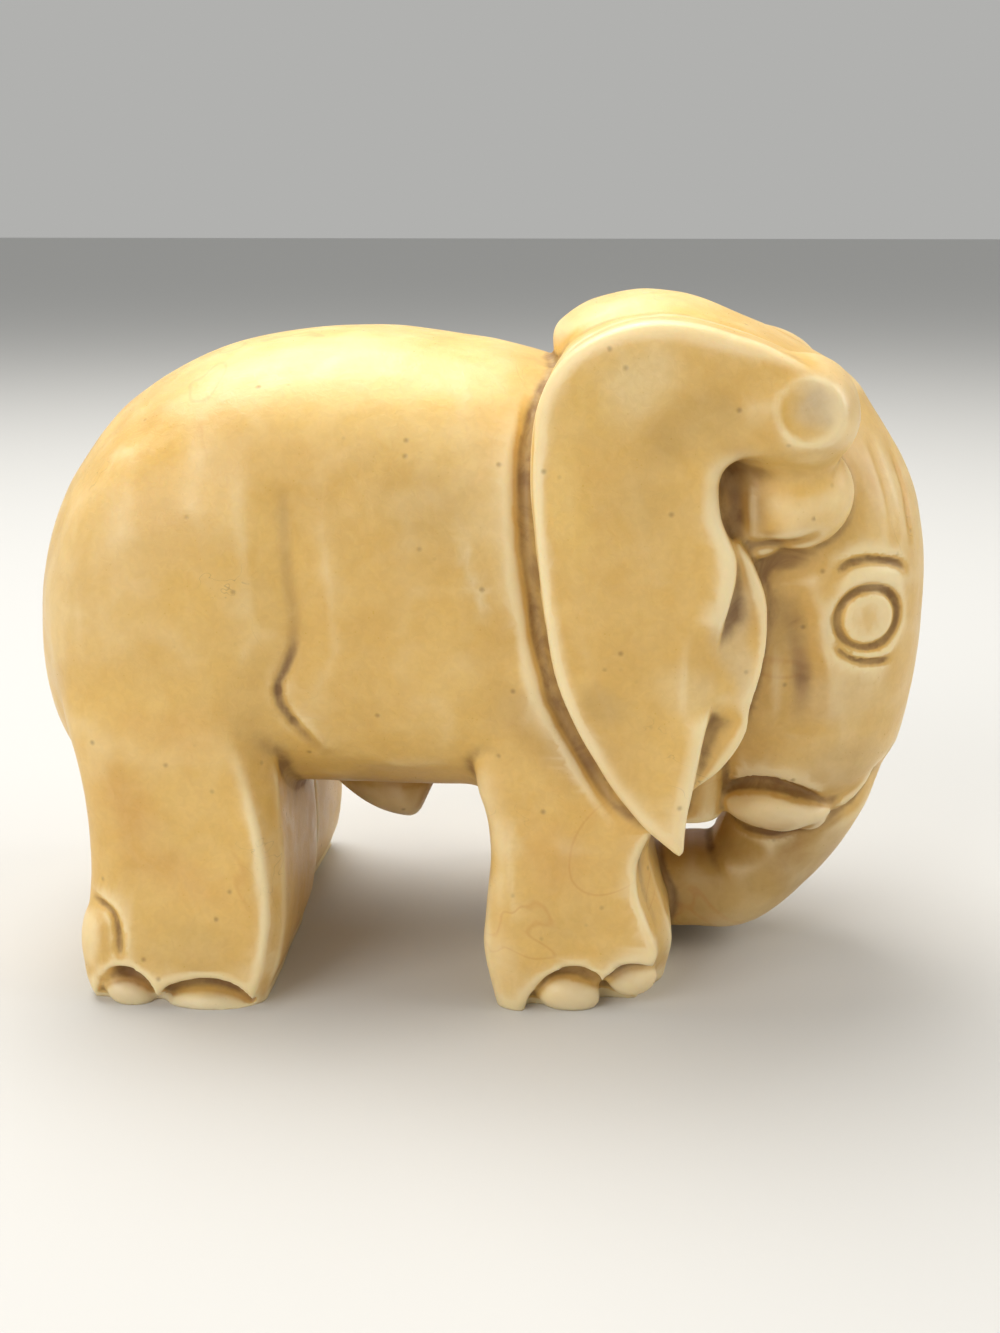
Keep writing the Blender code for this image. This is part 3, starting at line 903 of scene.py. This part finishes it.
def ear_details():
    stone.gouge([(40.2, 88.5), (40.8, 85), (41.2, 80), (41.8, 76)], 2.4, 1.0, 22)
    stone.gouge([(41.4, 76.6), (45.5, 76.2), (50, 76.6), (54, 78.4)], 1.5, 1.2, 16)
    stone.dish((49.5, 72.6), (6.5, 3.4), 0.8)
    stone.dish((24, 78), (13, 18), -0.5, least_y=30)
    stone.gouge([(13.4, 97), (12.4, 88), (13.2, 75), (15.0, 62), (17.5, 53.5), (21.5, 45.5), (26, 38.5)], 3.6, 0.2, 30)
    stone.finish()


def fill_between_lobe_and_flap():
    x, y, z = stone.points.T
    down = np.clip((z - 49.0) / 3.5, 0, 1) * np.clip((66.0 - z) / 6.0, 0, 1)
    across = np.clip((46.0 - x) / 13.0, 0, 1)
    ramp = FLAP_OUTER + (EAR_OUTER - FLAP_OUTER) * across
    reached = (abs(y) > 30) & (x < 46) & ((stone.outward > 0.3) | (x < 42))
    reached = reached * np.clip((x - 32.0) / 4.0, 0, 1)
    stone.points[:, 1] += np.sign(y) * down * (ramp - abs(y)) * reached


fill_between_lobe_and_flap()
stone.rub((39, 37, 56.5), (8, 8, 10), 12)
stone.rub((46, 40, 96.5), (15, 9, 11), 25)
stone.rub((51, 36, 89.5), (9, 9, 7), 60)
stone.rub((44, 32, 83), (7, 9, 9), 20)
ear_details()
stone.rasp((51.7, 40.0, 98.4), (0.12, 0.98, 0.14), (6.8, 6.0, 8.0))
write_points(stone.mesh, stone.points)
stone.start()
print("Widest point of the ears, mm:", round(float(stone.points[:, 1].max()), 1))

# %% [markdown]
# ## Eye and mouth
# The eye is a flat disc in a ring groove, under a raised lid and a brow line, with one more cut below.
# The mouth is a ledge: the cheek hangs over the lower lip, and its edge runs on across the trunk.
# The blade is narrow here, so the strokes are only a millimetre wide.

# %% Eye and mouth
EYE = (62.6, 63.3)
EYE_RADIUS = 4.1
BROW_LINE = [(56.9, 70.6), (57.8, 71.8), (59.5, 72.7), (61.9, 73.0), (64.8, 72.6), (67.3, 71.7), (68.6, 70.0)]
UNDER_EYE = [(56.5, 59.9), (57.5, 59.0), (58.8, 57.7), (60.6, 56.6), (62.9, 56.0), (65.3, 55.9), (67.2, 56.3)]
MOUTH = [(59.2, 29.0), (57.2, 31.0), (54.2, 32.7), (51.0, 34.0), (47.9, 34.7), (45.0, 34.4), (42.4, 33.0), (40.4, 31.0)]
CHEEK_EDGE = [(69.0, 39.4), (67.9, 37.1), (66.2, 35.5), (65.4, 32.9), (63.8, 30.6), (61.7, 28.7), (59.2, 27.8), (56.5, 27.2)]


def eye_details():
    stone.gouge(arc(EYE, EYE_RADIUS + 0.9, 0, 360, 25), 1.15, 1.2)
    stone.gouge(arc(EYE, EYE_RADIUS + 1.2, 10, 75, 9), 1.3, 0.5)
    stone.gouge(arc((EYE[0], EYE[1] - 0.4), EYE_RADIUS + 3.5, 38, 142), 2.0, -0.7)
    stone.gouge(BROW_LINE, 1.0, 1.3)
    stone.gouge(arc(EYE, EYE_RADIUS + 2.6, 205, 325), 1.2, -0.45)
    stone.gouge(UNDER_EYE, 1.0, 1.4)


def mouth_details():
    stone.knife(MOUTH, 4.2, 2.2)
    stone.knife(CHEEK_EDGE, 4.0, 1.5, 4)
    stone.gouge([(41.5, 24.6), (45, 23.2), (49.4, 23.0), (53.5, 24.6), (58, 27.2)], 1.2, 0.9, 4)


eye_details()
mouth_details()
stone.finish()
print("Eye at", EYE, "radius", EYE_RADIUS)

# %% [markdown]
# ## Crown and forehead
# A shallow double cut runs over the top between the ear's rim and the crown, and a few soft flutes run
# down the brow. They turn over the edge of the head, so their lines are given in three dimensions and
# the stone is taken off along its own normals.

# %% Crown and forehead
RIM_LINE = [(11, 31, 101.5), (14, 30, 104.8), (20, 29, 108), (28, 28, 109.8), (36, 27, 108.9), (44, 25, 106), (50, 24, 103)]


def crown_details():
    stone.gouge(RIM_LINE, 1.2, 0.55)
    stone.gouge([(x, y + 2.4, z - 0.2) for x, y, z in RIM_LINE], 1.1, 0.4)
    stone.gouge([(61.5, 17, 93), (64.5, 20, 86), (66, 21.5, 79), (66.6, 22.5, 74)], 2.0, 0.35)
    stone.gouge([(66, 13.5, 89), (68.3, 16, 84), (69, 18, 79), (69.5, 19, 74)], 1.3, 0.4)
    stone.finish(across=1.0)


crown_details()
print("Crown height, mm:", round(float(stone.points[:, 2].max()), 1))

# %% [markdown]
# ## The hand's unevenness
# No rubbed stone is perfectly smooth: the light on it wavers. Low noise moves the surface by a fifth of
# a millimetre over hollows a finger wide. It is seeded by place, so it is the same in every run.

# %% The hand's unevenness
WAVES = [
    # wavelength in mm, height in mm
    (16.0, 0.30),
    (6.0, 0.10),
]


def uneven():
    for wavelength, height in WAVES:
        places = stone.points / wavelength
        stone.cut += height * np.array([noise.noise(Vector(place)) for place in places])
    stone.finish(across=1.0)


uneven()
print("Uneven by", sum(height for _, height in WAVES), "mm at most")

# %% [markdown]
# ## Fewer faces, flat soles, and its place in the frame
# A last light rub takes the chatter out of the cuts. Decimation drops the faces that flat stretches
# don't need. The feet are sliced off flat at the ground and closed, and the carving is set over the
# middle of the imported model's box.

# %% Fewer faces, flat soles, and its place in the frame
TRIANGLES = 186000


def thin_out(thing):
    rub = thing.modifiers.new("Last rub", "SMOOTH")
    rub.factor = 0.4
    rub.iterations = 1
    thin = thing.modifiers.new("Fewer faces", "DECIMATE")
    thin.ratio = TRIANGLES / (2 * len(thing.data.polygons))
    keep_result(thing)


def stand_flat(thing):
    shape = bmesh.new()
    shape.from_mesh(thing.data)
    whole = shape.verts[:] + shape.edges[:] + shape.faces[:]
    bmesh.ops.bisect_plane(shape, geom=whole, plane_co=(0, 0, 0), plane_no=(0, 0, -1), clear_outer=True)
    rim = [edge for edge in shape.edges if edge.is_boundary]
    soles = bmesh.ops.holes_fill(shape, edges=rim, sides=0)["faces"]
    bmesh.ops.triangulate(shape, faces=soles)
    shape.to_mesh(thing.data)
    shape.free()
    return len(soles)


def set_in_frame(thing):
    points = read_points(thing.data)
    low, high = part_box("elephant")
    shift = (np.array(low + high) / MM - points.min(axis=0) - points.max(axis=0)) / 2
    points[:, :2] += shift[:2]
    write_points(thing.data, points)
    return shift[:2]


thin_out(carving)
soles = stand_flat(carving)
shift = set_in_frame(carving)
carving.data.shade_smooth()
print(len(carving.data.polygons), "faces,", soles, "soles, moved by", shift.round(2), "mm")

# %% [markdown]
# ## Where dirt and shade sit and edges catch light
# Dirt settles in hollows, where shade is painted too, and handling polishes what stands out, where thin
# edges are painted with the glow of light through them. Both can be read from the form: a smoothed copy
# of the surface lies above a hollow and below a ridge. The difference, measured over a small and a wide
# neighbourhood, is kept on the mesh as attributes that the material reads.

# %% Where dirt and shade sit and edges catch light
form_points = read_points(carving.data)
form_edges = edges_of(carving.data)


def form_normals():
    normals = np.empty(len(form_points) * 3, dtype=np.float32)
    carving.data.vertices.foreach_get("normal", normals)
    return normals.reshape(-1, 3)


def hollowness(passes):
    """Depth of each point below its smoothed surroundings, in mm."""
    smooth = soften(form_points, form_edges, passes)
    depth = np.sum((smooth - form_points) * form_normals(), axis=1)
    return soften(depth, form_edges, 2)[:, 0]


def keep_values(name, values):
    layer = carving.data.attributes.new(name, "FLOAT", "POINT")
    layer.data.foreach_set("value", values.astype(np.float32))


narrow = hollowness(12)
wide = hollowness(110)
keep_values("hollow", np.clip(narrow / 0.25, -1, 1))
keep_values("wide_hollow", np.clip(wide / 1.6, -1, 1))
print("Deepest hollows, mm:", round(float(narrow.max()), 2), "and", round(float(wide.max()), 2))

# %% [markdown]
# ## Tints painted on the stone
# Alabaster isn't one colour: it clouds from butter yellow to amber, olive and grey, and dirt and scuffs
# add their own. Some spots and bands are painted light and shade instead: lighter on top of the back and
# crown, painted shade under the shoulder, haunch, knob and jaw and in the toe pockets, hollows and
# creases, and painted highlights along the edges of the ears and legs. Image textures would be one way to
# hold that. Here each stain, and each patch of painted light or shade, is a soft spot or a band of a named
# tint, laid over the honey ground and kept on the points as a colour attribute. Noise moves the edges of
# the spots, so they don't look airbrushed.

# %% Tints painted on the stone
TINTS = {
    "honey": (222, 180, 96),
    "butter": (248, 214, 126),
    "cream": (240, 220, 172),
    "amber": (206, 146, 62),
    "olive": (190, 156, 90),
    "brown": (136, 92, 48),
    "umber": (84, 56, 32),
    "grey": (208, 190, 158),
    "plum": (150, 108, 84),
}
NEAR_ONLY, BOTH = "near", "both"


def linear(rgb):
    """A screen colour from 0 to 255 as light values."""
    c = np.array(rgb) / 255
    return np.where(c <= 0.04045, c / 12.92, ((c + 0.055) / 1.055) ** 2.4)


SPOTS = [
    # tint, x, z, half length, half height, strength, turn, side
    # Painted light: lighter on top of the back and the crown, where the overhead light falls.
    ("butter", -18, 104, 56, 16, 0.75, -4, BOTH),
    ("butter", 28, 112, 26, 9, 0.7, -6, BOTH),
    ("grey", -72, 70, 16, 26, 0.25, 0, BOTH),
    ("cream", 2, 84, 10, 18, 0.35, 4, NEAR_ONLY),
    ("olive", -8, 84, 11, 13, 0.30, 10, NEAR_ONLY),
    ("olive", -35, 62, 14, 10, 0.20, 30, NEAR_ONLY),
    ("amber", -54, 33, 7, 12, 0.50, 20, NEAR_ONLY),
    ("amber", -46, 21, 11, 5, 0.45, -25, NEAR_ONLY),
    # Painted shade: darker on the top of the hind leg, where it turns in under the haunch.
    ("amber", -47, 46, 12, 6, 0.30, 0, NEAR_ONLY),
    ("olive", -46, 10, 15, 8, 0.55, 0, BOTH),
    # Dirt and painted shade in the hind toe pockets.
    ("plum", -44, 1, 16, 3.6, 0.70, 0, BOTH),
    ("plum", -56, 1, 6, 4, 0.70, 0, BOTH),
    # Painted shade under the shoulder and behind the elbow.
    ("brown", 12, 46, 16, 8, 0.40, -30, BOTH),
    ("amber", 14, 26, 11, 9, 0.35, 0, BOTH),
    ("olive", 16, 14, 12, 7, 0.30, 0, BOTH),
    # Dirt and painted shade in the front toe pockets.
    ("plum", 17, 2, 8, 5, 0.55, 0, BOTH),
    ("grey", 27, 5, 6, 5, 0.45, 0, BOTH),
    ("olive", 36, 94, 12, 8, 0.60, 0, NEAR_ONLY),
    ("olive", 27, 84, 9, 8, 0.35, 0, NEAR_ONLY),
    ("cream", 25, 101, 9, 7, 0.60, 0, NEAR_ONLY),
    # Painted highlight on the bevel along the ear's rear edge.
    ("butter", 15, 84, 5, 14, 0.40, 6, NEAR_ONLY),
    ("olive", 22, 52, 5, 6, 0.55, 30, NEAR_ONLY),
    ("cream", 33, 55, 6, 7, 0.45, 0, NEAR_ONLY),
    ("grey", 42, 60, 4, 13, 0.55, 0, BOTH),
    ("grey", 51.7, 98, 5.4, 6.2, 0.95, 0, BOTH),
    # Dirt and painted shade in the hollow between ear, knob and temple.
    ("brown", 42, 84, 5, 8, 0.65, 0, BOTH),
    # Painted shade in the crease under the temple's lump.
    ("brown", 48, 78, 8, 2.6, 0.40, 0, BOTH),
    # Painted shade under the knob.
    ("olive", 50, 89, 8, 5, 0.35, 0, BOTH),
    ("cream", 63, 69, 7, 4, 0.45, 0, BOTH),
    ("grey", 60, 50, 7, 7, 0.35, 0, BOTH),
    ("olive", 49, 62, 5, 9, 0.35, 0, BOTH),
    # Dirt and painted shade: darker on the lower face, the jaw and the trunk.
    ("brown", 60, 36, 12, 6, 0.35, 20, BOTH),
    ("brown", 50, 27, 13, 6, 0.60, 0, BOTH),
    ("umber", 46, 14, 24, 13, 0.45, 20, BOTH),
    ("brown", 56, 20, 12, 16, 0.50, 0, BOTH),
    # Dirt and painted shade under the belly and on its keel.
    ("brown", -14, 28, 22, 8, 0.50, 0, BOTH),
]
BANDS = [
    # tint, width, strength, line in x, z
    ("umber", 0.9, 0.75, [(-27.0, 60), (-28.4, 56.5), (-29.9, 53.3), (-29.6, 50), (-27.2, 46)]),
    ("brown", 1.6, 0.40, [(-28.3, 86), (-27.6, 72), (-26.9, 62), (-29.6, 53), (-27.2, 46), (-22, 39.5)]),
    ("cream", 1.3, 0.75, [(-0.6, 79.5), (0.8, 73), (2.2, 68), (3.5, 63)]),
    # Painted highlight and glow along the ear's thin edges: the lobe's front edge, the rear edge and the lobe's lower
    # front edge.
    ("cream", 1.8, 0.70, [(37.2, 86), (37.6, 81), (39.6, 75.5), (39.6, 70), (38.4, 65.5)]),
    ("cream", 1.2, 0.55, [(11.2, 92), (11.2, 80), (12.6, 66), (16.0, 52), (21.8, 41.0)]),
    ("cream", 0.9, 0.60, [(37.4, 52), (36.2, 45.5), (34.6, 37), (34.0, 30)]),
    # Painted shade along the cheek hollow.
    ("plum", 2.2, 0.55, [(50.5, 62), (52.3, 56), (52.8, 50), (51.8, 45)]),
    # Painted shade under the ledge of the mouth.
    ("brown", 1.1, 0.60, [(41.6, 33), (45, 35), (49, 35.2), (54.2, 33.2), (58.6, 30.2)]),
    ("amber", 1.8, 0.50, [(60.0, 92), (62.6, 85), (63.8, 78)]),
    ("cream", 1.3, 0.50, [(63.6, 91), (65.6, 84), (66.6, 76)]),
    ("amber", 1.2, 0.45, [(66.4, 89), (68.4, 82), (69.3, 75)]),
    # Painted shade beside the eye's ring groove, on its lower left.
    ("brown", 1.2, 0.45, [(56.6, 66), (56.2, 61), (57.6, 58.6)]),
    # Painted highlights along the leg edges: the hind leg's front ridge, the front leg's rear edge and its front ridge.
    ("cream", 1.0, 0.55, [(-34.4, 34), (-32.8, 24), (-32.4, 16), (-33.2, 7)]),
    ("cream", 1.0, 0.50, [(7.2, 33), (6.9, 24), (7.8, 14)]),
    ("cream", 1.0, 0.60, [(30.6, 30), (27.2, 25), (27.6, 19), (29.4, 13)]),
]
WOBBLE = [
    # wavelength and reach in mm
    (14.0, 4.0),
    (4.5, 1.4),
]


def wobbled(places):
    """Side-view places, shifted by noise."""
    moved = places[:, [0, 2]].copy()
    for wavelength, reach in WOBBLE:
        for axis, start in enumerate((Vector((7, 0, 0)), Vector((0, 19, 0)))):
            moved[:, axis] += reach * np.array([noise.noise(Vector(place) / wavelength + start) for place in places])
    return moved


def spot_strength(places, x, z, long, high, turn):
    away = places - (x, z)
    c, s = math.cos(math.radians(turn)), math.sin(math.radians(turn))
    along = (away[:, 0] * c + away[:, 1] * s) / long
    across = (away[:, 1] * c - away[:, 0] * s) / high
    return np.clip(1.6 - 1.6 * np.hypot(along, across), 0, 1) ** 1.5


stone = Stone(carving.data)
is_near = np.clip(-stone.points[:, 1] / 4.0, 0, 1)
places = wobbled(stone.points)
colour = np.tile(linear(TINTS["honey"]), (len(places), 1))
for tint, x, z, long, high, strength, turn, side in SPOTS:
    taken = strength * spot_strength(places, x, z, long, high, turn) * (is_near if side == NEAR_ONLY else 1.0)
    colour += taken[:, None] * (linear(TINTS[tint]) - colour)
for tint, width, strength, line in BANDS:
    taken = strength * stone.hold(line, width) * is_near
    colour += taken[:, None] * (linear(TINTS[tint]) - colour)
paint = carving.data.attributes.new("tint", "FLOAT_COLOR", "POINT")
paint.data.foreach_set("color", np.column_stack([colour, np.ones(len(colour))]).astype(np.float32).ravel())
print(len(SPOTS), "spots and", len(BANDS), "bands of", len(TINTS), "tints")

# %% [markdown]
# ## Effects as node groups
# A group is a small tool with named sockets. Each one here reads the place on the stone and puts out a
# mask, so it can be used again at another scale: clouds for mottling and for uneven polish, hairlines
# for veins and cracks, specks for pits and grains. They could be drawn as the stains are, but they are
# finer than the mesh.

# %% Helpers for node groups


def new_group(name, numbers, outputs):
    """A shader group with number inputs and mask outputs."""
    group = bpy.data.node_groups.new(name, "ShaderNodeTree")
    for label, value in numbers.items():
        socket = group.interface.new_socket(name=label, in_out="INPUT", socket_type="NodeSocketFloat")
        socket.default_value = value
    for label in outputs:
        group.interface.new_socket(name=label, in_out="OUTPUT", socket_type="NodeSocketFloat")
    return group, group.nodes.new("NodeGroupInput").outputs, group.nodes.new("NodeGroupOutput").inputs


def connect(tree, source, socket):
    """Links a socket, or sets a plain value."""
    if isinstance(source, bpy.types.NodeSocket):
        tree.links.new(source, socket)
    else:
        socket.default_value = source


def calculate(tree, operation, a, b=0.0, limit=False):
    node = tree.nodes.new("ShaderNodeMath")
    node.operation = operation
    node.use_clamp = limit
    connect(tree, a, node.inputs[0])
    connect(tree, b, node.inputs[1])
    return node.outputs[0]


def spread(tree, value, low, high, to_low=0.0, to_high=1.0):
    """Maps a range smoothly onto another."""
    node = tree.nodes.new("ShaderNodeMapRange")
    node.interpolation_type = "SMOOTHSTEP"
    for label, source in (("Value", value), ("From Min", low), ("From Max", high), ("To Min", to_low), ("To Max", to_high)):
        connect(tree, source, node.inputs[label])
    return node.outputs["Result"]


def stone_place(tree, stretch=(1.0, 1.0, 1.0)):
    """Where a point of the stone is, in metres, squeezed along an axis to stretch what is drawn there."""
    node = tree.nodes.new("ShaderNodeTexCoord")
    squeeze = tree.nodes.new("ShaderNodeVectorMath")
    squeeze.operation = "MULTIPLY"
    squeeze.inputs[1].default_value = stretch
    tree.links.new(node.outputs["Object"], squeeze.inputs[0])
    return squeeze.outputs["Vector"]


def grain(tree, place, scale, detail, roughness=0.55, distortion=0.0):
    node = tree.nodes.new("ShaderNodeTexNoise")
    tree.links.new(place, node.inputs["Vector"])
    for label, source in (("Scale", scale), ("Detail", detail), ("Roughness", roughness), ("Distortion", distortion)):
        connect(tree, source, node.inputs[label])
    return node.outputs["Fac"]


print("Helpers ready")

# %% Clouds, hairlines, specks, sanding marks


def make_clouds():
    """Soft patches, from 0 to 1."""
    group, given, made = new_group("Stone Clouds", {"Scale": 60.0, "Contrast": 0.2}, ["Mask"])
    value = grain(group, stone_place(group), given["Scale"], 5.0, 0.6, 0.8)
    low = calculate(group, "SUBTRACT", 0.5, given["Contrast"])
    high = calculate(group, "ADD", 0.5, given["Contrast"])
    group.links.new(spread(group, value, low, high), made["Mask"])
    return group


def make_hairlines():
    """Thin wandering lines, where a noise passes through its middle value."""
    group, given, made = new_group("Hairlines", {"Scale": 30.0, "Width": 0.01, "Share": 0.5}, ["Mask"])
    place = stone_place(group)
    value = grain(group, place, given["Scale"], 3.0, 0.5, 1.2)
    off = calculate(group, "ABSOLUTE", calculate(group, "SUBTRACT", value, 0.5))
    line = spread(group, off, given["Width"], 0.0)
    where = grain(group, place, calculate(group, "MULTIPLY", given["Scale"], 0.7), 2.0)
    share = spread(group, where, given["Share"], calculate(group, "ADD", given["Share"], 0.1))
    group.links.new(calculate(group, "MULTIPLY", line, share), made["Mask"])
    return group


def make_specks():
    """Small grains or pits. Share says how many of the cells hold one."""
    group, given, made = new_group("Specks", {"Scale": 500.0, "Size": 0.3, "Share": 0.1}, ["Mask"])
    cells = group.nodes.new("ShaderNodeTexVoronoi")
    group.links.new(stone_place(group), cells.inputs["Vector"])
    group.links.new(given["Scale"], cells.inputs["Scale"])
    pick = group.nodes.new("ShaderNodeSeparateColor")
    group.links.new(cells.outputs["Color"], pick.inputs["Color"])
    chosen = calculate(group, "LESS_THAN", pick.outputs["Red"], given["Share"])
    dot = spread(group, cells.outputs["Distance"], given["Size"], 0.0)
    group.links.new(calculate(group, "MULTIPLY", chosen, dot), made["Mask"])
    return group


def make_sanding_marks():
    """Fine parallel scratches, mostly along the body."""
    group, given, made = new_group("Sanding Marks", {"Scale": 900.0, "Amount": 1.0}, ["Height"])
    along = grain(group, stone_place(group, (0.06, 1.0, 1.0)), given["Scale"], 2.0, 0.7)
    down = grain(group, stone_place(group, (1.0, 1.0, 0.08)), given["Scale"], 2.0, 0.7)
    height = calculate(group, "ADD", calculate(group, "MULTIPLY", along, 0.65), calculate(group, "MULTIPLY", down, 0.35))
    group.links.new(calculate(group, "MULTIPLY", height, given["Amount"]), made["Height"])
    return group


GROUPS = {make.__name__[5:]: make() for make in (make_clouds, make_hairlines, make_specks, make_sanding_marks)}
print("Groups:", ", ".join(GROUPS))

# %% [markdown]
# ## Dirt, painted shade and glowing edges
# Two more groups read the hollowness kept on the mesh. Brown dirt and painted shade sit in the cuts and
# fade unevenly out of the broad hollows. Thin edges were rubbed clean and let light through, so they are
# painted pale: wear, and a painted glow of that light.

# %% Dirt, painted shade and glowing edges


def attribute(tree, name, output="Fac"):
    node = tree.nodes.new("ShaderNodeAttribute")
    node.attribute_name = name
    return node.outputs[output]


def make_dirt():
    # Brown dirt and painted shade: darker in the cuts, fading unevenly out of the broad hollows.
    group, given, made = new_group("Grime And Painted Shade", {"In Cuts": 1.0, "In Hollows": 0.5, "Patchiness": 0.5}, ["Mask"])
    clouds = group.nodes.new("ShaderNodeGroup")
    clouds.node_tree = GROUPS["clouds"]
    clouds.inputs["Scale"].default_value = 140.0
    patchy = spread(group, clouds.outputs["Mask"], 0.0, 1.0, calculate(group, "SUBTRACT", 1.0, given["Patchiness"]), 1.0)
    cuts = calculate(group, "MULTIPLY", spread(group, attribute(group, "hollow"), 0.05, 0.9), given["In Cuts"])
    hollows = calculate(group, "MULTIPLY", spread(group, attribute(group, "wide_hollow"), 0.05, 0.9), given["In Hollows"])
    both = calculate(group, "ADD", cuts, hollows, limit=True)
    group.links.new(calculate(group, "MULTIPLY", both, patchy), made["Mask"])
    return group


def make_rubbed_edges():
    # Pale ridges and thin edges: worn clean, and painted with the glow of light that comes through thin stone.
    group, given, made = new_group("Rubbed Edges", {"Amount": 0.6}, ["Mask"])
    ridge = spread(group, attribute(group, "hollow"), -0.06, -0.75)
    group.links.new(calculate(group, "MULTIPLY", ridge, given["Amount"]), made["Mask"])
    return group


GROUPS["dirt"] = make_dirt()
GROUPS["rubbed_edges"] = make_rubbed_edges()
print("Groups:", ", ".join(GROUPS))

# %% [markdown]
# ## The alabaster
# Light goes a few millimetres into this stone and comes out warm, so the shader has subsurface
# scattering. Its skin is waxed but scratched: the highlights are broad and broken. Layers of colour go
# over the painted tint one after the other, each through the mask of a group.

# %% The alabaster


def place_group(tree, name, **values):
    node = tree.nodes.new("ShaderNodeGroup")
    node.node_tree = GROUPS[name]
    for label, value in values.items():
        node.inputs[label.replace("_", " ")].default_value = value
    return node.outputs[0]


def layer(tree, under, over, mask, strength=1.0, blend="MIX"):
    """One colour over another, through a mask."""
    node = tree.nodes.new("ShaderNodeMix")
    node.data_type = "RGBA"
    node.blend_type = blend
    connect(tree, calculate(tree, "MULTIPLY", mask, strength), node.inputs["Factor"])
    connect(tree, under, node.inputs[6])
    connect(tree, over if isinstance(over, bpy.types.NodeSocket) else (*linear(over), 1.0), node.inputs[7])
    return node.outputs[2]


def make_alabaster():
    material = bpy.data.materials.new("honey_alabaster")
    material.use_nodes = True
    tree = material.node_tree
    shader = tree.nodes["Principled BSDF"]
    broad = place_group(tree, "clouds", Scale=38.0, Contrast=0.22)
    small = place_group(tree, "clouds", Scale=170.0, Contrast=0.16)
    fine = place_group(tree, "clouds", Scale=700.0, Contrast=0.18)
    veins = place_group(tree, "hairlines", Scale=26.0, Width=0.012, Share=0.5)
    cracks = place_group(tree, "hairlines", Scale=70.0, Width=0.004, Share=0.62)
    pits = place_group(tree, "specks", Scale=420.0, Size=0.28, Share=0.05)
    glints = place_group(tree, "specks", Scale=1400.0, Size=0.35, Share=0.10)
    dirt = place_group(tree, "dirt", In_Cuts=0.9, In_Hollows=0.30, Patchiness=0.45)
    edges = place_group(tree, "rubbed_edges", Amount=0.55)
    colour = attribute(tree, "tint", "Color")
    colour = layer(tree, colour, (236, 200, 120), broad, 0.30)
    colour = layer(tree, colour, (176, 138, 76), calculate(tree, "SUBTRACT", 1.0, broad), 0.22)
    colour = layer(tree, colour, (246, 224, 168), small, 0.12)
    colour = layer(tree, colour, (170, 128, 70), fine, 0.12)
    colour = layer(tree, colour, (196, 132, 60), veins, 0.30)
    colour = layer(tree, colour, (96, 66, 38), cracks, 0.35)
    # Dirt and painted shade in the cuts and hollows.
    colour = layer(tree, colour, (116, 76, 40), dirt, 0.80)
    # Pale edges: wear and a painted glow of light through the thin stone.
    colour = layer(tree, colour, (250, 236, 196), edges, 1.0)
    colour = layer(tree, colour, (92, 62, 36), pits, 0.45)
    tree.links.new(colour, shader.inputs["Base Color"])
    polish = spread(tree, small, 0.0, 1.0, 0.34, 0.46)
    rough = calculate(tree, "ADD", polish, calculate(tree, "MULTIPLY", dirt, 0.25))
    rough = calculate(tree, "SUBTRACT", rough, calculate(tree, "MULTIPLY", glints, 0.18), limit=True)
    tree.links.new(rough, shader.inputs["Roughness"])
    marks = place_group(tree, "sanding_marks", Scale=900.0, Amount=0.5)
    height = calculate(tree, "ADD", marks, calculate(tree, "MULTIPLY", fine, 0.5))
    height = calculate(tree, "SUBTRACT", height, calculate(tree, "MULTIPLY", pits, 2.0))
    bump = tree.nodes.new("ShaderNodeBump")
    bump.inputs["Strength"].default_value = 0.35
    bump.inputs["Distance"].default_value = 0.0001
    tree.links.new(height, bump.inputs["Height"])
    tree.links.new(bump.outputs["Normal"], shader.inputs["Normal"])
    shader.inputs["Subsurface Weight"].default_value = 0.35
    shader.inputs["Subsurface Radius"].default_value = (1.0, 0.62, 0.28)
    shader.inputs["Subsurface Scale"].default_value = 0.004
    shader.inputs["Specular IOR Level"].default_value = 0.5
    shader.inputs["IOR"].default_value = 1.52
    return material


alabaster = make_alabaster()
carving.data.materials.clear()
carving.data.materials.append(alabaster)
print("The alabaster has", len(alabaster.node_tree.nodes), "nodes")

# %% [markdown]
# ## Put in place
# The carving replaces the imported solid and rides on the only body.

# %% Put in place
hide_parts("elephant")
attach(carving, "root")
